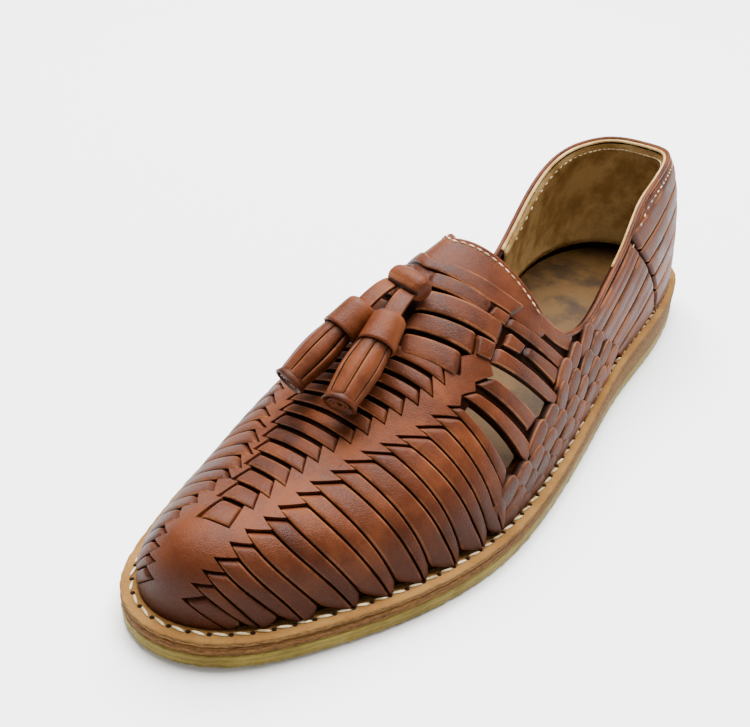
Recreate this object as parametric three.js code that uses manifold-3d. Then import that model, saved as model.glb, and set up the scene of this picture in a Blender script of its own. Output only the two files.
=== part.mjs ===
// Woven huarache loafer with two tassels, left shoe.
// Millimetres, +Z up, toe towards -Y, outer side of the foot towards +X.
// The origin is on the floor, under the middle of the sole's outline.

import * as THREE from 'three';
import { mergeVertices } from 'three/addons/utils/BufferGeometryUtils.js';
import Module from 'manifold-3d';

const wasm = await Module();
wasm.setup();

// Sole layers, from the floor up.
const crepeThickness = 4.3;
const heelLift = 6.6; // how much the wedge raises the heel
const liftFrom = 60; // station where the wedge starts to run out, measured from the heel
const liftTo = 190; // station where it has run out
const midsoleThickness = 2.6;
const weltThickness = 1.6;
const insoleRise = 1.0; // insole above the welt
const toeSpring = 1.2;
const springFrom = 205; // station where the tread leaves the floor
const soleEnd = 295;
const layerGap = 0.2; // between the flat layers
const leatherInset = 0.3; // leather layers stand back from the crepe's edge

// Upper.
const wall = 2.6; // strap woven over strap
const gap = 0.3; // between pieces that meet on curved faces
const featherInset = { heel: 4.5, forefoot: 6.2 }; // upper's foot, in from the sole's edge
const featherFrom = 3.5; // ribs over which the inset changes
const featherTo = 6.5;
const throatRib = 5.1; // the throat's edge runs along this rib
const wallRows = 6; // rows of faces up to the collar
const crownRows = 5; // rows of faces from there to the ridge
const ribSteps = 4; // columns of faces from one rib to the next

// The last. A row for each rib, from the back of the heel to the tip of the toe. lat and med are control
// points of the sole's edge on the outer and the inner side, ridge is where the two half ribs meet, each as
// [x, station]. full is how square a half rib's shoulder is and swell how far its wall bows out, as shares
// of its height and width, for the outer and the inner side.
const ribs = [
  { at: 'heel back', lat: [2, -1], med: [2, -1], ridge: [-3, 52], full: [0.72, 0.72], swell: [0.1, 0.1] },
  { at: 'heel corner', lat: [23, 3], med: [-21, 5], ridge: [-3, 56], full: [0.72, 0.72], swell: [-0.06, 0.14] },
  { at: 'heel seat', lat: [31, 28], med: [-33, 30], ridge: [-3, 68], full: [0.7, 0.7], swell: [-0.06, 0.14] },
  { at: 'heel breast', lat: [36, 60], med: [-34, 61], ridge: [-3, 92], full: [0.6, 0.6], swell: [-0.02, 0.04] },
  { at: 'shank', lat: [37, 99], med: [-25, 101], ridge: [-3, 128], full: [0.4, 0.4], swell: [0, 0] },
  { at: 'waist', lat: [44, 139], med: [-27, 134], ridge: [-5, 160], full: [0.38, 0.42], swell: [0, 0] },
  { at: 'instep', lat: [49, 178], med: [-40, 168], ridge: [-6, 180], full: [0.47, 0.46], swell: [0, 0] },
  { at: 'ball', lat: [50, 208], med: [-51, 206], ridge: [0, 203], full: [0.56, 0.51], swell: [0, 0] },
  { at: 'toe joints', lat: [42, 239], med: [-47, 236], ridge: [2.5, 229], full: [0.64, 0.55], swell: [0, 0] },
  { at: 'toes', lat: [29, 264], med: [-38, 265], ridge: [1, 248], full: [0.73, 0.6], swell: [0, 0] },
  { at: 'toe corner', lat: [14, 288], med: [-29, 290], ridge: [-4, 259], full: [0.82, 0.64], swell: [0, 0] },
  { at: 'toe tip', lat: [-8, 298], med: [-8, 298], ridge: [-7, 263], full: [0.8, 0.8], swell: [0, 0] },
];
const lastRib = ribs.length - 1;

// Height of the last's crown above the floor, one value every crownStep of station.
const crownStep = 30;
const crown = [86, 86, 86, 85, 82, 75, 68, 48, 32, 32.5, 32.5];

// Height of the collar above the floor, one row every collarStep of rib.
const collarStep = 0.5;
const collar = [
  { rib: 0.0, lat: 68.0, med: 68.0 },
  { rib: 0.5, lat: 68.5, med: 68.5 },
  { rib: 1.0, lat: 69.0, med: 68.5 },
  { rib: 1.5, lat: 69.0, med: 67.5 },
  { rib: 2.0, lat: 68.5, med: 66.5 },
  { rib: 2.5, lat: 67.0, med: 63.5 },
  { rib: 3.0, lat: 64.5, med: 56.5 },
  { rib: 3.5, lat: 53.0, med: 45.0 },
  { rib: 4.0, lat: 45.5, med: 36.5 },
  { rib: 4.5, lat: 39.0, med: 34.0 },
  { rib: 5.0, lat: 42.0, med: 40.0 },
  { rib: 5.5, lat: 52.0, med: 48.0 },
];

// Open windows in the weave: the two ends of each slot as [rib, share of the half rib], and its widths there.
const windows = [
  { side: 'lat', from: [6.18, 0.47], to: [5.8, 0.29], widths: [2.4, 6.5] },
  { side: 'lat', from: [6.44, 0.55], to: [6.1, 0.29], widths: [1.6, 3.2] },
  { side: 'lat', from: [6.68, 0.4], to: [6.52, 0.26], widths: [2.2, 3.6] },
  { side: 'lat', from: [5.61, 0.415], to: [5.42, 0.31], widths: [2.2, 2.6] },
  { side: 'med', from: [5.96, 0.36], to: [5.64, 0.17], widths: [2.6, 4.4] },
  { side: 'med', from: [6.46, 0.34], to: [6.2, 0.16], widths: [2.2, 4.4] },
  { side: 'med', from: [6.68, 0.22], to: [6.82, 0.12], widths: [2.6, 3.6] },
];
const windowSteps = 3;
const cutterReach = 3; // how far a cutter stands clear of the wall, inside and out
const shortEdge = 0.06; // edges shorter than this are closed up after the cut

// Tassels and the rolled keeper that they hang from, as [x, station, height] of points on their axes.
const keeper = { from: [-14, 182, 69.4], to: [6, 186, 69.4], radius: 3.4, nose: 1.6 };
const tassels = [
  { name: 'front', hang: [-1.2, 190.6, 68.2], neck: [-0.3, 201, 64.2], hem: [1.4, 210.5, 58.9], end: [3.6, 225.5, 49.8] },
  { name: 'rear', hang: [-8.6, 189.4, 68.2], neck: [-10.6, 200, 64], hem: [-12.8, 209.5, 58.4], end: [-15.6, 225, 48.8] },
];
const capRadius = { neck: 4.8, hem: 6.1 };
const fringeRadius = { top: 5.2, belly: 6.6, hem: 4.9 };
const thong = { width: 5, thickness: 1.8 };
const roundSides = 14;

const colours = {
  crepe: 0xc4bd8c,
  board: 0xb98f60,
  naturalLeather: 0xc39a68,
  lining: 0xcfb284,
  brownLeather: 0x8c4f34,
};

function material(colour, roughness) {
  return new THREE.MeshStandardMaterial({ color: colour, roughness, metalness: 0 });
}

function smoothStep(from, to, value) {
  const s = THREE.MathUtils.clamp((value - from) / (to - from), 0, 1);
  return s * s * (3 - 2 * s);
}

// Uniform cubic B-spline through a list of control values, with a knot at each whole number.
// rule says which control value stands for an index outside the list.
function bSpline(values, u, rule) {
  const first = Math.floor(u);
  const f = u - first;
  const weights = [
    (1 - f) ** 3 / 6,
    (3 * f ** 3 - 6 * f ** 2 + 4) / 6,
    (-3 * f ** 3 + 3 * f ** 2 + 3 * f + 1) / 6,
    f ** 3 / 6,
  ];
  return weights.reduce((sum, weight, k) => sum + weight * values[rule(first + k - 1, values.length)], 0);
}

const looped = (i, n) => ((i % n) + n) % n;
const mirrored = (i, n) => (i < 0 ? -i : i > n - 1 ? 2 * (n - 1) - i : i);
const clamped = (i, n) => THREE.MathUtils.clamp(i, 0, n - 1);

// A loop of control values runs out along the outer side to the tip of the toe and back along the inner side.
const sides = ['lat', 'med'];

function roundLoop(pick) {
  return [...ribs.map((row) => pick(row, 'lat')), ...ribs.slice(1, -1).reverse().map((row) => pick(row, 'med'))];
}

const loops = {
  x: roundLoop((row, side) => row[side][0]),
  station: roundLoop((row, side) => row[side][1]),
  full: roundLoop((row, side) => row.full[sides.indexOf(side)]),
  swell: roundLoop((row, side) => row.swell[sides.indexOf(side)]),
};
const loopLength = loops.x.length;

function loopPlace(side, rib) {
  return side === 'lat' ? rib : loopLength - rib;
}

// The sole's edge, as [x, station], at a place on the loop.
function edgeAt(u) {
  return new THREE.Vector2(bSpline(loops.x, u, looped), bSpline(loops.station, u, looped));
}

// The same edge moved inwards by an inset, at a rib of one side.
function edge(side, rib, inset) {
  const u = loopPlace(side, rib);
  const step = 0.001;
  const along = edgeAt(u + step).sub(edgeAt(u - step)).normalize();
  return edgeAt(u).add(new THREE.Vector2(-along.y, along.x).multiplyScalar(inset));
}

function ribColumn(pick, rib) {
  return bSpline(ribs.map(pick), rib, mirrored);
}

function ridge(rib) {
  return new THREE.Vector2(ribColumn((row) => row.ridge[0], rib), ribColumn((row) => row.ridge[1], rib));
}

function crownHeight(station) {
  return bSpline(crown, THREE.MathUtils.clamp(station, 0, 299.9) / crownStep, clamped);
}

// Heights of the sole's layers at a station.
function treadHeight(station) {
  return toeSpring * THREE.MathUtils.clamp((station - springFrom) / (soleEnd - springFrom), 0, 1) ** 2;
}

function lift(station) {
  return heelLift * (1 - smoothStep(liftFrom, liftTo, station));
}

const crepeTop = (station) => treadHeight(station) + crepeThickness;
const midsoleBottom = (station) => crepeTop(station) + layerGap + lift(station);
const midsoleTop = (station) => midsoleBottom(station) + midsoleThickness;
const weltTop = (station) => midsoleTop(station) + layerGap + weltThickness;

function featherAt(rib) {
  return featherInset.heel + (featherInset.forefoot - featherInset.heel) * smoothStep(featherFrom, featherTo, rib);
}

// The upper's outer surface as [x, station, height]. A half rib is a cubic Bezier curve from the feather
// line, up a wall that may bow out, over a shoulder, to the ridge.
function lastPoint(side, rib, share) {
  const foot = edge(side, rib, featherAt(rib));
  const top = ridge(rib);
  const full = bSpline(loops.full, loopPlace(side, rib), looped);
  const swell = bSpline(loops.swell, loopPlace(side, rib), looped);
  const left = 1 - share;
  const across = -3 * left ** 2 * share * swell + 3 * left * share ** 2 * (1 - full) + share ** 3;
  const up = 3 * left ** 2 * share * full + 3 * left * share ** 2 + share ** 3;
  const plan = foot.clone().lerp(top, across);
  const base = weltTop(foot.y) + gap;
  return new THREE.Vector3(plan.x, plan.y, base + (crownHeight(plan.y) - base) * up);
}

function lastNormal(side, rib, share) {
  const step = 0.001;
  const along = lastPoint(side, rib + step, share).sub(lastPoint(side, rib - step, share));
  const up = lastPoint(side, rib, share + step).sub(lastPoint(side, rib, share - step));
  const normal = along.cross(up).normalize();
  return side === 'lat' ? normal : normal.negate();
}

// Share of the half rib at which it reaches the collar's height, found by halving.
function collarShare(side, rib) {
  const height = bSpline(collar.map((row) => row[side]), rib / collarStep, (i, n) => clamped(Math.abs(i), n));
  let low = 0;
  let high = 1;
  for (let turn = 0; turn < 24; turn += 1) {
    const middle = (low + high) / 2;
    if (lastPoint(side, rib, middle).z < height) low = middle;
    else high = middle;
  }
  return low;
}

// From station coordinates to the part's own frame.
const outlineBox = new THREE.Box2().setFromPoints(
  Array.from({ length: 2200 }, (_, i) => edgeAt((i / 2200) * loopLength)),
);
const middle = outlineBox.getCenter(new THREE.Vector2());

function place(x, station, height) {
  return new THREE.Vector3(x - middle.x, middle.y - station, height);
}

// A skin is a plain list of triangles' corners, merged into a closed geometry when it is complete.
function geometryFromSkin(skin) {
  const loose = new THREE.BufferGeometry().setFromPoints(skin);
  const merged = mergeVertices(loose, 1e-4);
  return turnedOut(merged);
}

function signedVolume(geometry) {
  const position = geometry.getAttribute('position');
  const index = geometry.getIndex().array;
  const corner = (i) => new THREE.Vector3().fromBufferAttribute(position, index[i]);
  let volume = 0;
  for (let i = 0; i < index.length; i += 3) {
    volume += corner(i).dot(corner(i + 1).cross(corner(i + 2))) / 6;
  }
  return volume;
}

function turnedOut(geometry) {
  if (signedVolume(geometry) < 0) {
    const index = Array.from(geometry.getIndex().array);
    for (let i = 0; i < index.length; i += 3) [index[i], index[i + 1]] = [index[i + 1], index[i]];
    geometry.setIndex(index);
  }
  return geometry;
}

function addQuad(skin, a, b, c, d) {
  skin.push(a, b, c, a, c, d);
}

// The columns of a layer: once round the sole's edge, each with its side and rib.
const columnsPerSide = lastRib * ribSteps;
const roundColumns = [
  ...Array.from({ length: columnsPerSide }, (_, i) => ({ side: 'lat', rib: i / ribSteps })),
  ...Array.from({ length: columnsPerSide }, (_, i) => ({ side: 'med', rib: lastRib - i / ribSteps })),
];

// One flat sole layer. It runs in from the edge over a few rings, to the ridge line or to an inner inset,
// between two heights that follow the station. columns may be the whole round or an open stretch of it.
function layerGeometry({ columns, closed, inset, innerInset, bottom, top, rings }) {
  const planPoint = ({ side, rib }, ring) => {
    const outer = edge(side, rib, inset(rib));
    const inner = innerInset ? edge(side, rib, innerInset(rib)) : ridge(rib);
    return outer.lerp(inner, ring / rings);
  };
  const point = (column, ring, height) => {
    const plan = planPoint(column, ring);
    return place(plan.x, plan.y, height(plan.y));
  };
  const skin = [];
  const count = closed ? columns.length : columns.length - 1;
  for (let i = 0; i < count; i += 1) {
    const here = columns[i];
    const next = columns[(i + 1) % columns.length];
    for (let ring = 0; ring < rings; ring += 1) {
      addQuad(skin, point(here, ring, top), point(next, ring, top), point(next, ring + 1, top), point(here, ring + 1, top));
      addQuad(skin, point(here, ring, bottom), point(here, ring + 1, bottom), point(next, ring + 1, bottom), point(next, ring, bottom));
    }
    addQuad(skin, point(here, 0, bottom), point(next, 0, bottom), point(next, 0, top), point(here, 0, top));
    if (innerInset) {
      addQuad(skin, point(here, rings, top), point(next, rings, top), point(next, rings, bottom), point(here, rings, bottom));
    }
  }
  if (!closed) {
    const first = columns[0];
    const last = columns[columns.length - 1];
    for (let ring = 0; ring < rings; ring += 1) {
      addQuad(skin, point(first, ring, top), point(first, ring + 1, top), point(first, ring + 1, bottom), point(first, ring, bottom));
      addQuad(skin, point(last, ring, bottom), point(last, ring + 1, bottom), point(last, ring + 1, top), point(last, ring, top));
    }
  }
  return geometryFromSkin(skin);
}

function fullLayer(settings) {
  return layerGeometry({ columns: roundColumns, closed: true, rings: 2, ...settings });
}

function outsole() {
  return fullLayer({ inset: () => 0, bottom: treadHeight, top: crepeTop });
}

// The wedge reaches forward to the rib where it is too thin to show.
function heelWedge() {
  const frontRib = 5.75;
  const lateral = roundColumns.filter(({ side, rib }) => side === 'lat' && rib <= frontRib);
  const medial = roundColumns.filter(({ side, rib }) => side === 'med' && rib <= frontRib);
  return layerGeometry({
    columns: [...medial, ...lateral],
    closed: false,
    rings: 2,
    inset: () => leatherInset,
    bottom: (station) => crepeTop(station) + layerGap,
    top: (station) => midsoleBottom(station) - layerGap,
  });
}

function midsole() {
  return fullLayer({ inset: () => leatherInset, bottom: midsoleBottom, top: midsoleTop });
}

function welt() {
  return fullLayer({
    rings: 1,
    inset: () => leatherInset,
    innerInset: (rib) => featherAt(rib) + wall,
    bottom: (station) => midsoleTop(station) + layerGap,
    top: weltTop,
  });
}

function insole() {
  return fullLayer({
    inset: (rib) => featherAt(rib) + wall + gap,
    bottom: (station) => midsoleTop(station) + layerGap,
    top: (station) => weltTop(station) + insoleRise,
  });
}

// The upper's outer skin as an open sheet: a wall all the way round up to the collar, and from the throat
// forward a crown up to the ridge, where the two sides join.
function upperSheet() {
  const skin = [];
  const evenRibs = (from, to) => {
    const steps = Math.round((to - from) * ribSteps);
    return Array.from({ length: steps + 1 }, (_, i) => THREE.MathUtils.lerp(from, to, i / steps));
  };
  const quarterRibs = evenRibs(0, throatRib);
  const vampRibs = evenRibs(throatRib, lastRib);
  const throatShares = sides.map((side) => collarShare(side, throatRib));
  const toeShare = (throatShares[0] + throatShares[1]) / 2; // one share for both sides where they meet at the toe
  for (const [column, side] of sides.entries()) {
    const wallShare = (rib) => {
      if (rib <= throatRib) return collarShare(side, rib);
      return THREE.MathUtils.lerp(throatShares[column], toeShare, (rib - throatRib) / (lastRib - throatRib));
    };
    const rowShare = (top, row) => {
      if (row <= wallRows) return (top * row) / wallRows;
      return top + ((1 - top) * (row - wallRows)) / crownRows;
    };
    const addStrip = (ribHere, ribNext, rows) => {
      const [topHere, topNext] = [wallShare(ribHere), wallShare(ribNext)];
      for (let row = 0; row < rows; row += 1) {
        const corners = [
          lastPoint(side, ribHere, rowShare(topHere, row)),
          lastPoint(side, ribNext, rowShare(topNext, row)),
          lastPoint(side, ribNext, rowShare(topNext, row + 1)),
          lastPoint(side, ribHere, rowShare(topHere, row + 1)),
        ].map((p) => place(p.x, p.y, p.z));
        if (side === 'lat') corners.reverse();
        addQuad(skin, ...corners);
      }
    };
    for (let i = 0; i + 1 < quarterRibs.length; i += 1) {
      addStrip(quarterRibs[i], quarterRibs[i + 1], wallRows);
    }
    for (let i = 0; i + 1 < vampRibs.length; i += 1) {
      addStrip(vampRibs[i], vampRibs[i + 1], wallRows + crownRows);
    }
  }
  return mergeVertices(new THREE.BufferGeometry().setFromPoints(skin), 1e-3);
}

// Gives an open sheet a wall: an inner copy a thickness below its own normals, joined along every open edge.
// Where the sheet stands on the welt the wall is kept level.
function thickened(sheet, thickness) {
  sheet.computeVertexNormals();
  const position = sheet.getAttribute('position');
  const normals = sheet.getAttribute('normal');
  const index = Array.from(sheet.getIndex().array);
  const edges = new Map();
  for (let i = 0; i < index.length; i += 3) {
    for (let k = 0; k < 3; k += 1) {
      const [a, b] = [index[i + k], index[i + ((k + 1) % 3)]];
      if (edges.has(`${b},${a}`)) edges.delete(`${b},${a}`);
      else edges.set(`${a},${b}`, [a, b]);
    }
  }
  const outer = Array.from({ length: position.count }, (_, i) => new THREE.Vector3().fromBufferAttribute(position, i));
  const footLine = new Set();
  for (const [a, b] of edges.values()) {
    for (const i of [a, b]) {
      if (Math.abs(outer[i].z - weltTop(middle.y - outer[i].y) - gap) < 0.01) footLine.add(i);
    }
  }
  const inner = outer.map((p, i) => {
    const normal = new THREE.Vector3().fromBufferAttribute(normals, i);
    if (footLine.has(i)) normal.setZ(0).normalize();
    return p.clone().addScaledVector(normal, -thickness);
  });
  const skin = [];
  for (let i = 0; i < index.length; i += 3) {
    const [a, b, c] = index.slice(i, i + 3);
    skin.push(outer[a], outer[b], outer[c], inner[a], inner[c], inner[b]);
  }
  for (const [a, b] of edges.values()) addQuad(skin, outer[b], outer[a], inner[a], inner[b]);
  return geometryFromSkin(skin);
}

// A prism that follows the surface from one end of a window to the other.
function windowCutter({ side, from, to, widths }) {
  const sections = [];
  for (let i = 0; i <= windowSteps; i += 1) {
    const s = i / windowSteps;
    const rib = THREE.MathUtils.lerp(from[0], to[0], s);
    const share = THREE.MathUtils.lerp(from[1], to[1], s);
    const step = 0.01;
    const ahead = lastPoint(side, rib + (to[0] - from[0]) * step, share + (to[1] - from[1]) * step);
    const centre = lastPoint(side, rib, share);
    const normal = lastNormal(side, rib, share);
    const across = ahead.sub(centre).cross(normal).normalize().multiplyScalar(THREE.MathUtils.lerp(...widths, s) / 2);
    const out = normal.clone().multiplyScalar(cutterReach);
    const inwards = normal.clone().multiplyScalar(-wall - cutterReach);
    sections.push(
      [[1, out], [-1, out], [-1, inwards], [1, inwards]].map(([turn, reach]) => {
        const p = centre.clone().addScaledVector(across, turn).add(reach);
        return place(p.x, p.y, p.z);
      }),
    );
  }
  const skin = [];
  addQuad(skin, ...sections[0]);
  for (let i = 0; i < windowSteps; i += 1) {
    for (let k = 0; k < 4; k += 1) {
      const next = (k + 1) % 4;
      addQuad(skin, sections[i][next], sections[i][k], sections[i + 1][k], sections[i + 1][next]);
    }
  }
  addQuad(skin, ...[...sections[windowSteps]].reverse());
  return geometryFromSkin(skin);
}

function toManifold(geometry) {
  const numProp = 3;
  const vertProperties = new Float32Array(geometry.getAttribute('position').array);
  const triVerts = new Uint32Array(geometry.getIndex().array);
  return new wasm.Manifold(new wasm.Mesh({ numProp, vertProperties, triVerts }));
}

// Draws the ends of each very short edge together, and drops the slivers that this closes up.
function withoutShortEdges(points, corners) {
  const stands = points.map((_, i) => i);
  const standFor = (i) => (stands[i] === i ? i : standFor(stands[i]));
  for (let i = 0; i < corners.length; i += 1) {
    const next = i % 3 === 2 ? i - 2 : i + 1;
    const [a, b] = [standFor(corners[i]), standFor(corners[next])];
    if (a !== b && points[a].distanceTo(points[b]) < shortEdge) stands[Math.max(a, b)] = Math.min(a, b);
  }
  const skin = [];
  for (let i = 0; i < corners.length; i += 3) {
    const [a, b, c] = [0, 1, 2].map((k) => standFor(corners[i + k]));
    if (a !== b && b !== c && c !== a) skin.push(points[a], points[b], points[c]);
  }
  return skin;
}

function fromManifold(solid) {
  const mesh = solid.getMesh();
  const count = mesh.vertProperties.length / 3;
  const points = Array.from({ length: count }, (_, i) => new THREE.Vector3().fromArray(mesh.vertProperties, 3 * i));
  return geometryFromSkin(withoutShortEdges(points, Array.from(mesh.triVerts)));
}

function upper() {
  const hollow = toManifold(thickened(upperSheet(), wall));
  return fromManifold(windows.reduce((solid, window) => solid.subtract(toManifold(windowCutter(window))), hollow));
}

// A round piece from a profile of [distance along, radius] rows, laid along the line between two points.
function roundPiece(name, rows, from, to, colour) {
  const start = place(...from);
  const end = place(...to);
  const length = start.distanceTo(end);
  const profile = rows.map(([along, radius]) => new THREE.Vector2(radius, along * length));
  const mesh = new THREE.Mesh(new THREE.LatheGeometry(profile, roundSides), material(colour, 0.5));
  mesh.name = name;
  mesh.position.copy(start);
  mesh.quaternion.setFromUnitVectors(new THREE.Vector3(0, 1, 0), end.sub(start).normalize());
  return mesh;
}

function keeperMesh() {
  const { from, to, radius, nose } = keeper;
  const rows = [[0, 0], [0, radius - nose], [0.06, radius], [0.94, radius], [1, radius - nose], [1, 0]];
  return roundPiece('keeper', rows, from, to, colours.brownLeather);
}

// A tassel is a flat thong down from the keeper, a rolled cap, and a fringe that bellies out below it.
function tasselMeshes({ name, hang, neck, hem, end }) {
  const capRows = [[0, 0], [0, capRadius.neck], [0.12, capRadius.neck + 0.8], [1, capRadius.hem], [1, 0]];
  const fringeRows = [[0, 0], [0, fringeRadius.top], [0.45, fringeRadius.belly], [0.75, fringeRadius.belly - 0.4],
    [1, fringeRadius.hem], [1, 0]];
  const hemPoint = new THREE.Vector3(...hem);
  const fringeStart = hemPoint.clone().add(new THREE.Vector3(...end).sub(hemPoint).setLength(gap));
  const start = place(...hang);
  const stop = place(...neck);
  const thongEnd = stop.clone().add(start.clone().sub(stop).setLength(gap));
  const strip = new THREE.BoxGeometry(thong.width, thong.thickness, start.distanceTo(thongEnd));
  const thongMesh = new THREE.Mesh(strip, material(colours.brownLeather, 0.5));
  thongMesh.name = `thong_${name}`;
  thongMesh.position.copy(start).add(thongEnd).multiplyScalar(0.5);
  thongMesh.lookAt(thongEnd);
  return [
    thongMesh,
    roundPiece(`tassel_cap_${name}`, capRows, neck, hem, colours.brownLeather),
    roundPiece(`tassel_fringe_${name}`, fringeRows, fringeStart.toArray(), end, colours.brownLeather),
  ];
}

function pieceMesh(name, geometry, colour, roughness) {
  const mesh = new THREE.Mesh(geometry, material(colour, roughness));
  mesh.name = name;
  return mesh;
}

const sole = new THREE.Group();
sole.add(
  pieceMesh('outsole', outsole(), colours.crepe, 0.7),
  pieceMesh('heel_wedge', heelWedge(), colours.board, 0.8),
  pieceMesh('midsole', midsole(), colours.naturalLeather, 0.8),
  pieceMesh('welt', welt(), colours.naturalLeather, 0.7),
);

const shoe = new THREE.Group();
shoe.add(
  sole,
  pieceMesh('insole', insole(), colours.lining, 0.8),
  pieceMesh('upper', upper(), colours.brownLeather, 0.45),
  keeperMesh(),
  ...tassels.flatMap(tasselMeshes),
);

export default shoe;
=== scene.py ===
import math
import time
import bmesh
import bpy
import numpy as np
from mathutils import Matrix, Vector
from mathutils.geometry import delaunay_2d_cdt


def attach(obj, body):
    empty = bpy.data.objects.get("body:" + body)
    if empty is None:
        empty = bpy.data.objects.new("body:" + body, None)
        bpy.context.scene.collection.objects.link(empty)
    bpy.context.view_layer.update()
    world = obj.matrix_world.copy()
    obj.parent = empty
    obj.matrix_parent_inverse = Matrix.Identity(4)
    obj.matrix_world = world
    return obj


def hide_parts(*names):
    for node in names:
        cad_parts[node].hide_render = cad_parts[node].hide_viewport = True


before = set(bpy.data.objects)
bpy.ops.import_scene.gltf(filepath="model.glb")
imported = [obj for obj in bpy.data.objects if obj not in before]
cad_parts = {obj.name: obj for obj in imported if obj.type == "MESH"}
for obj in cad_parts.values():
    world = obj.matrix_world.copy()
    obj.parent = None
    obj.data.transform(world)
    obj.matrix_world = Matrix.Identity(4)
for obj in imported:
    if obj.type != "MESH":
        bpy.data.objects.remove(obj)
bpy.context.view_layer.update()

startedAt = time.time()
rng = np.random.default_rng(7)
mm = 0.001  # shapes are worked out in millimetres and written in metres


def report(stage):
    print(stage, round(time.time() - startedAt, 1), flush=True)



# The last is the same surface as the CAD upper. Each rib: (x, station) of the sole's edge on the outer
# and the inner side, (x, station) of the ridge, and full and swell of the two half ribs.
# Ribs run from the back of the heel to the tip of the toe.
lastRows = [
    # outer      inner        ridge       full          swell
    ((2, -1), (2, -1), (-3, 52), (0.72, 0.72), (0.1, 0.1)),
    ((23, 3), (-21, 5), (-3, 56), (0.72, 0.72), (-0.06, 0.14)),
    ((31, 28), (-33, 30), (-3, 68), (0.7, 0.7), (-0.06, 0.14)),
    ((36, 60), (-34, 61), (-3, 92), (0.6, 0.6), (-0.02, 0.04)),
    ((37, 99), (-25, 101), (-3, 128), (0.4, 0.4), (0, 0)),
    ((44, 139), (-27, 134), (-5, 160), (0.38, 0.42), (0, 0)),
    ((49, 178), (-40, 168), (-6, 180), (0.47, 0.46), (0, 0)),
    ((50, 208), (-51, 206), (0, 203), (0.56, 0.51), (0, 0)),
    ((42, 239), (-47, 236), (2.5, 229), (0.64, 0.55), (0, 0)),
    ((29, 264), (-38, 265), (1, 248), (0.73, 0.6), (0, 0)),
    ((14, 288), (-29, 290), (-4, 259), (0.82, 0.64), (0, 0)),
    ((-8, 298), (-8, 298), (-7, 263), (0.8, 0.8), (0, 0)),
]
crownStep = 30
crownValues = [86, 86, 86, 85, 82, 75, 68, 48, 32, 32.5, 32.5]
collarStep = 0.5
collarLat = [68, 68.5, 69, 69, 68.5, 67, 64.5, 53, 45.5, 39, 42, 52]
collarMed = [68, 68.5, 68.5, 67.5, 66.5, 63.5, 56.5, 45, 36.5, 34, 40, 48]
sole = {
    "crepe": 4.3, "lift": 6.6, "liftFrom": 60, "liftTo": 190, "midsole": 2.6, "welt": 1.6, "insoleRise": 1.0,
    "spring": 1.2, "springFrom": 205, "end": 295, "gap": 0.2, "leatherInset": 0.3,
    "crepeInset": 0.25,
}
upper = {"wall": 2.6, "gap": 0.3, "featherHeel": 4.5, "featherFore": 6.2, "throatRib": 5.1}
toeRib = len(lastRows) - 1
loopLength = 2 * toeRib


def roundLoop(column):
    # out along the outer side to the toe and back along the inner side
    outer = [row[column[0]][column[1]] for row in lastRows]
    inner = [row[column[2]][column[3]] for row in lastRows[1:-1]]
    return np.array(outer + inner[::-1], float)


loops = {
    "x": roundLoop((0, 0, 1, 0)), "station": roundLoop((0, 1, 1, 1)),
    "full": roundLoop((3, 0, 3, 1)), "swell": roundLoop((4, 0, 4, 1)),
}
ridgeX = np.array([row[2][0] for row in lastRows], float)
ridgeStation = np.array([row[2][1] for row in lastRows], float)


def bSpline(values, u, ends):
    # uniform cubic B-spline: four neighbouring values, weighted (1-f)^3/6, (3f^3-6f^2+4)/6, ... and f^3/6
    values = np.asarray(values, float)
    u = np.asarray(u, float)
    first = np.floor(u).astype(int)
    f = u - first
    nearest = ((3 * f**3 - 6 * f**2 + 4) / 6, (-3 * f**3 + 3 * f**2 + 3 * f + 1) / 6)
    weights = ((1 - f) ** 3 / 6,) + nearest + (f**3 / 6,)
    n = len(values)
    total = np.zeros_like(u)
    for k, weight in enumerate(weights):
        i = first + k - 1
        if ends == "loop":
            i = i % n
        elif ends == "mirror":
            i = np.abs(i)
            i = np.where(i > n - 1, 2 * (n - 1) - i, i)
        else:
            i = np.clip(i, 0, n - 1)
        total = total + weight * values[i]
    return total


def smoothStep(low, high, value):
    s = np.clip((np.asarray(value, float) - low) / (high - low), 0, 1)
    return s * s * (3 - 2 * s)


def mix(a, b, t):
    return a + (b - a) * t


def unit(ways):
    return ways / np.linalg.norm(ways, axis=-1, keepdims=True)


def travelAlong(path):
    # the length run so far at each point of a path
    return np.concatenate([[0], np.cumsum(np.linalg.norm(np.diff(path, axis=0), axis=1))])


def roundedEnds(n, power, least):
    # near 1 along n steps, and falling off at both ends as sqrt(1-|t|^power)
    return np.sqrt(np.clip(1 - np.abs(np.linspace(-1, 1, n)) ** power, least, 1))


def ribOf(u):
    u = np.mod(u, loopLength)
    return np.minimum(u, loopLength - u)


def featherAt(u):
    return mix(upper["featherHeel"], upper["featherFore"], smoothStep(3.5, 6.5, ribOf(u)))


def edgeAt(u):
    u = np.mod(u, loopLength)
    return np.stack([bSpline(loops["x"], u, "loop"), bSpline(loops["station"], u, "loop")], -1)


def soleEdge(u, inset):
    # the sole's outline moved inwards by an inset, square to itself
    u = np.asarray(u, float)
    along = unit(edgeAt(u + 0.001) - edgeAt(u - 0.001))
    inwards = np.stack([-along[..., 1], along[..., 0]], -1)
    return edgeAt(u) + inwards * np.asarray(inset, float)[..., None]


def crownHeight(station):
    return bSpline(crownValues, np.clip(station, 0, 299.9) / crownStep, "clamp")


def treadHeight(station):
    share = np.clip((station - sole["springFrom"]) / (sole["end"] - sole["springFrom"]), 0, 1)
    return sole["spring"] * share**2


def crepeTop(station):
    return treadHeight(station) + sole["crepe"]


def wedgeLift(station):
    return sole["lift"] * (1 - smoothStep(sole["liftFrom"], sole["liftTo"], station))


def midsoleBottom(station):
    return crepeTop(station) + sole["gap"] + wedgeLift(station)


def midsoleTop(station):
    return midsoleBottom(station) + sole["midsole"]


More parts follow.
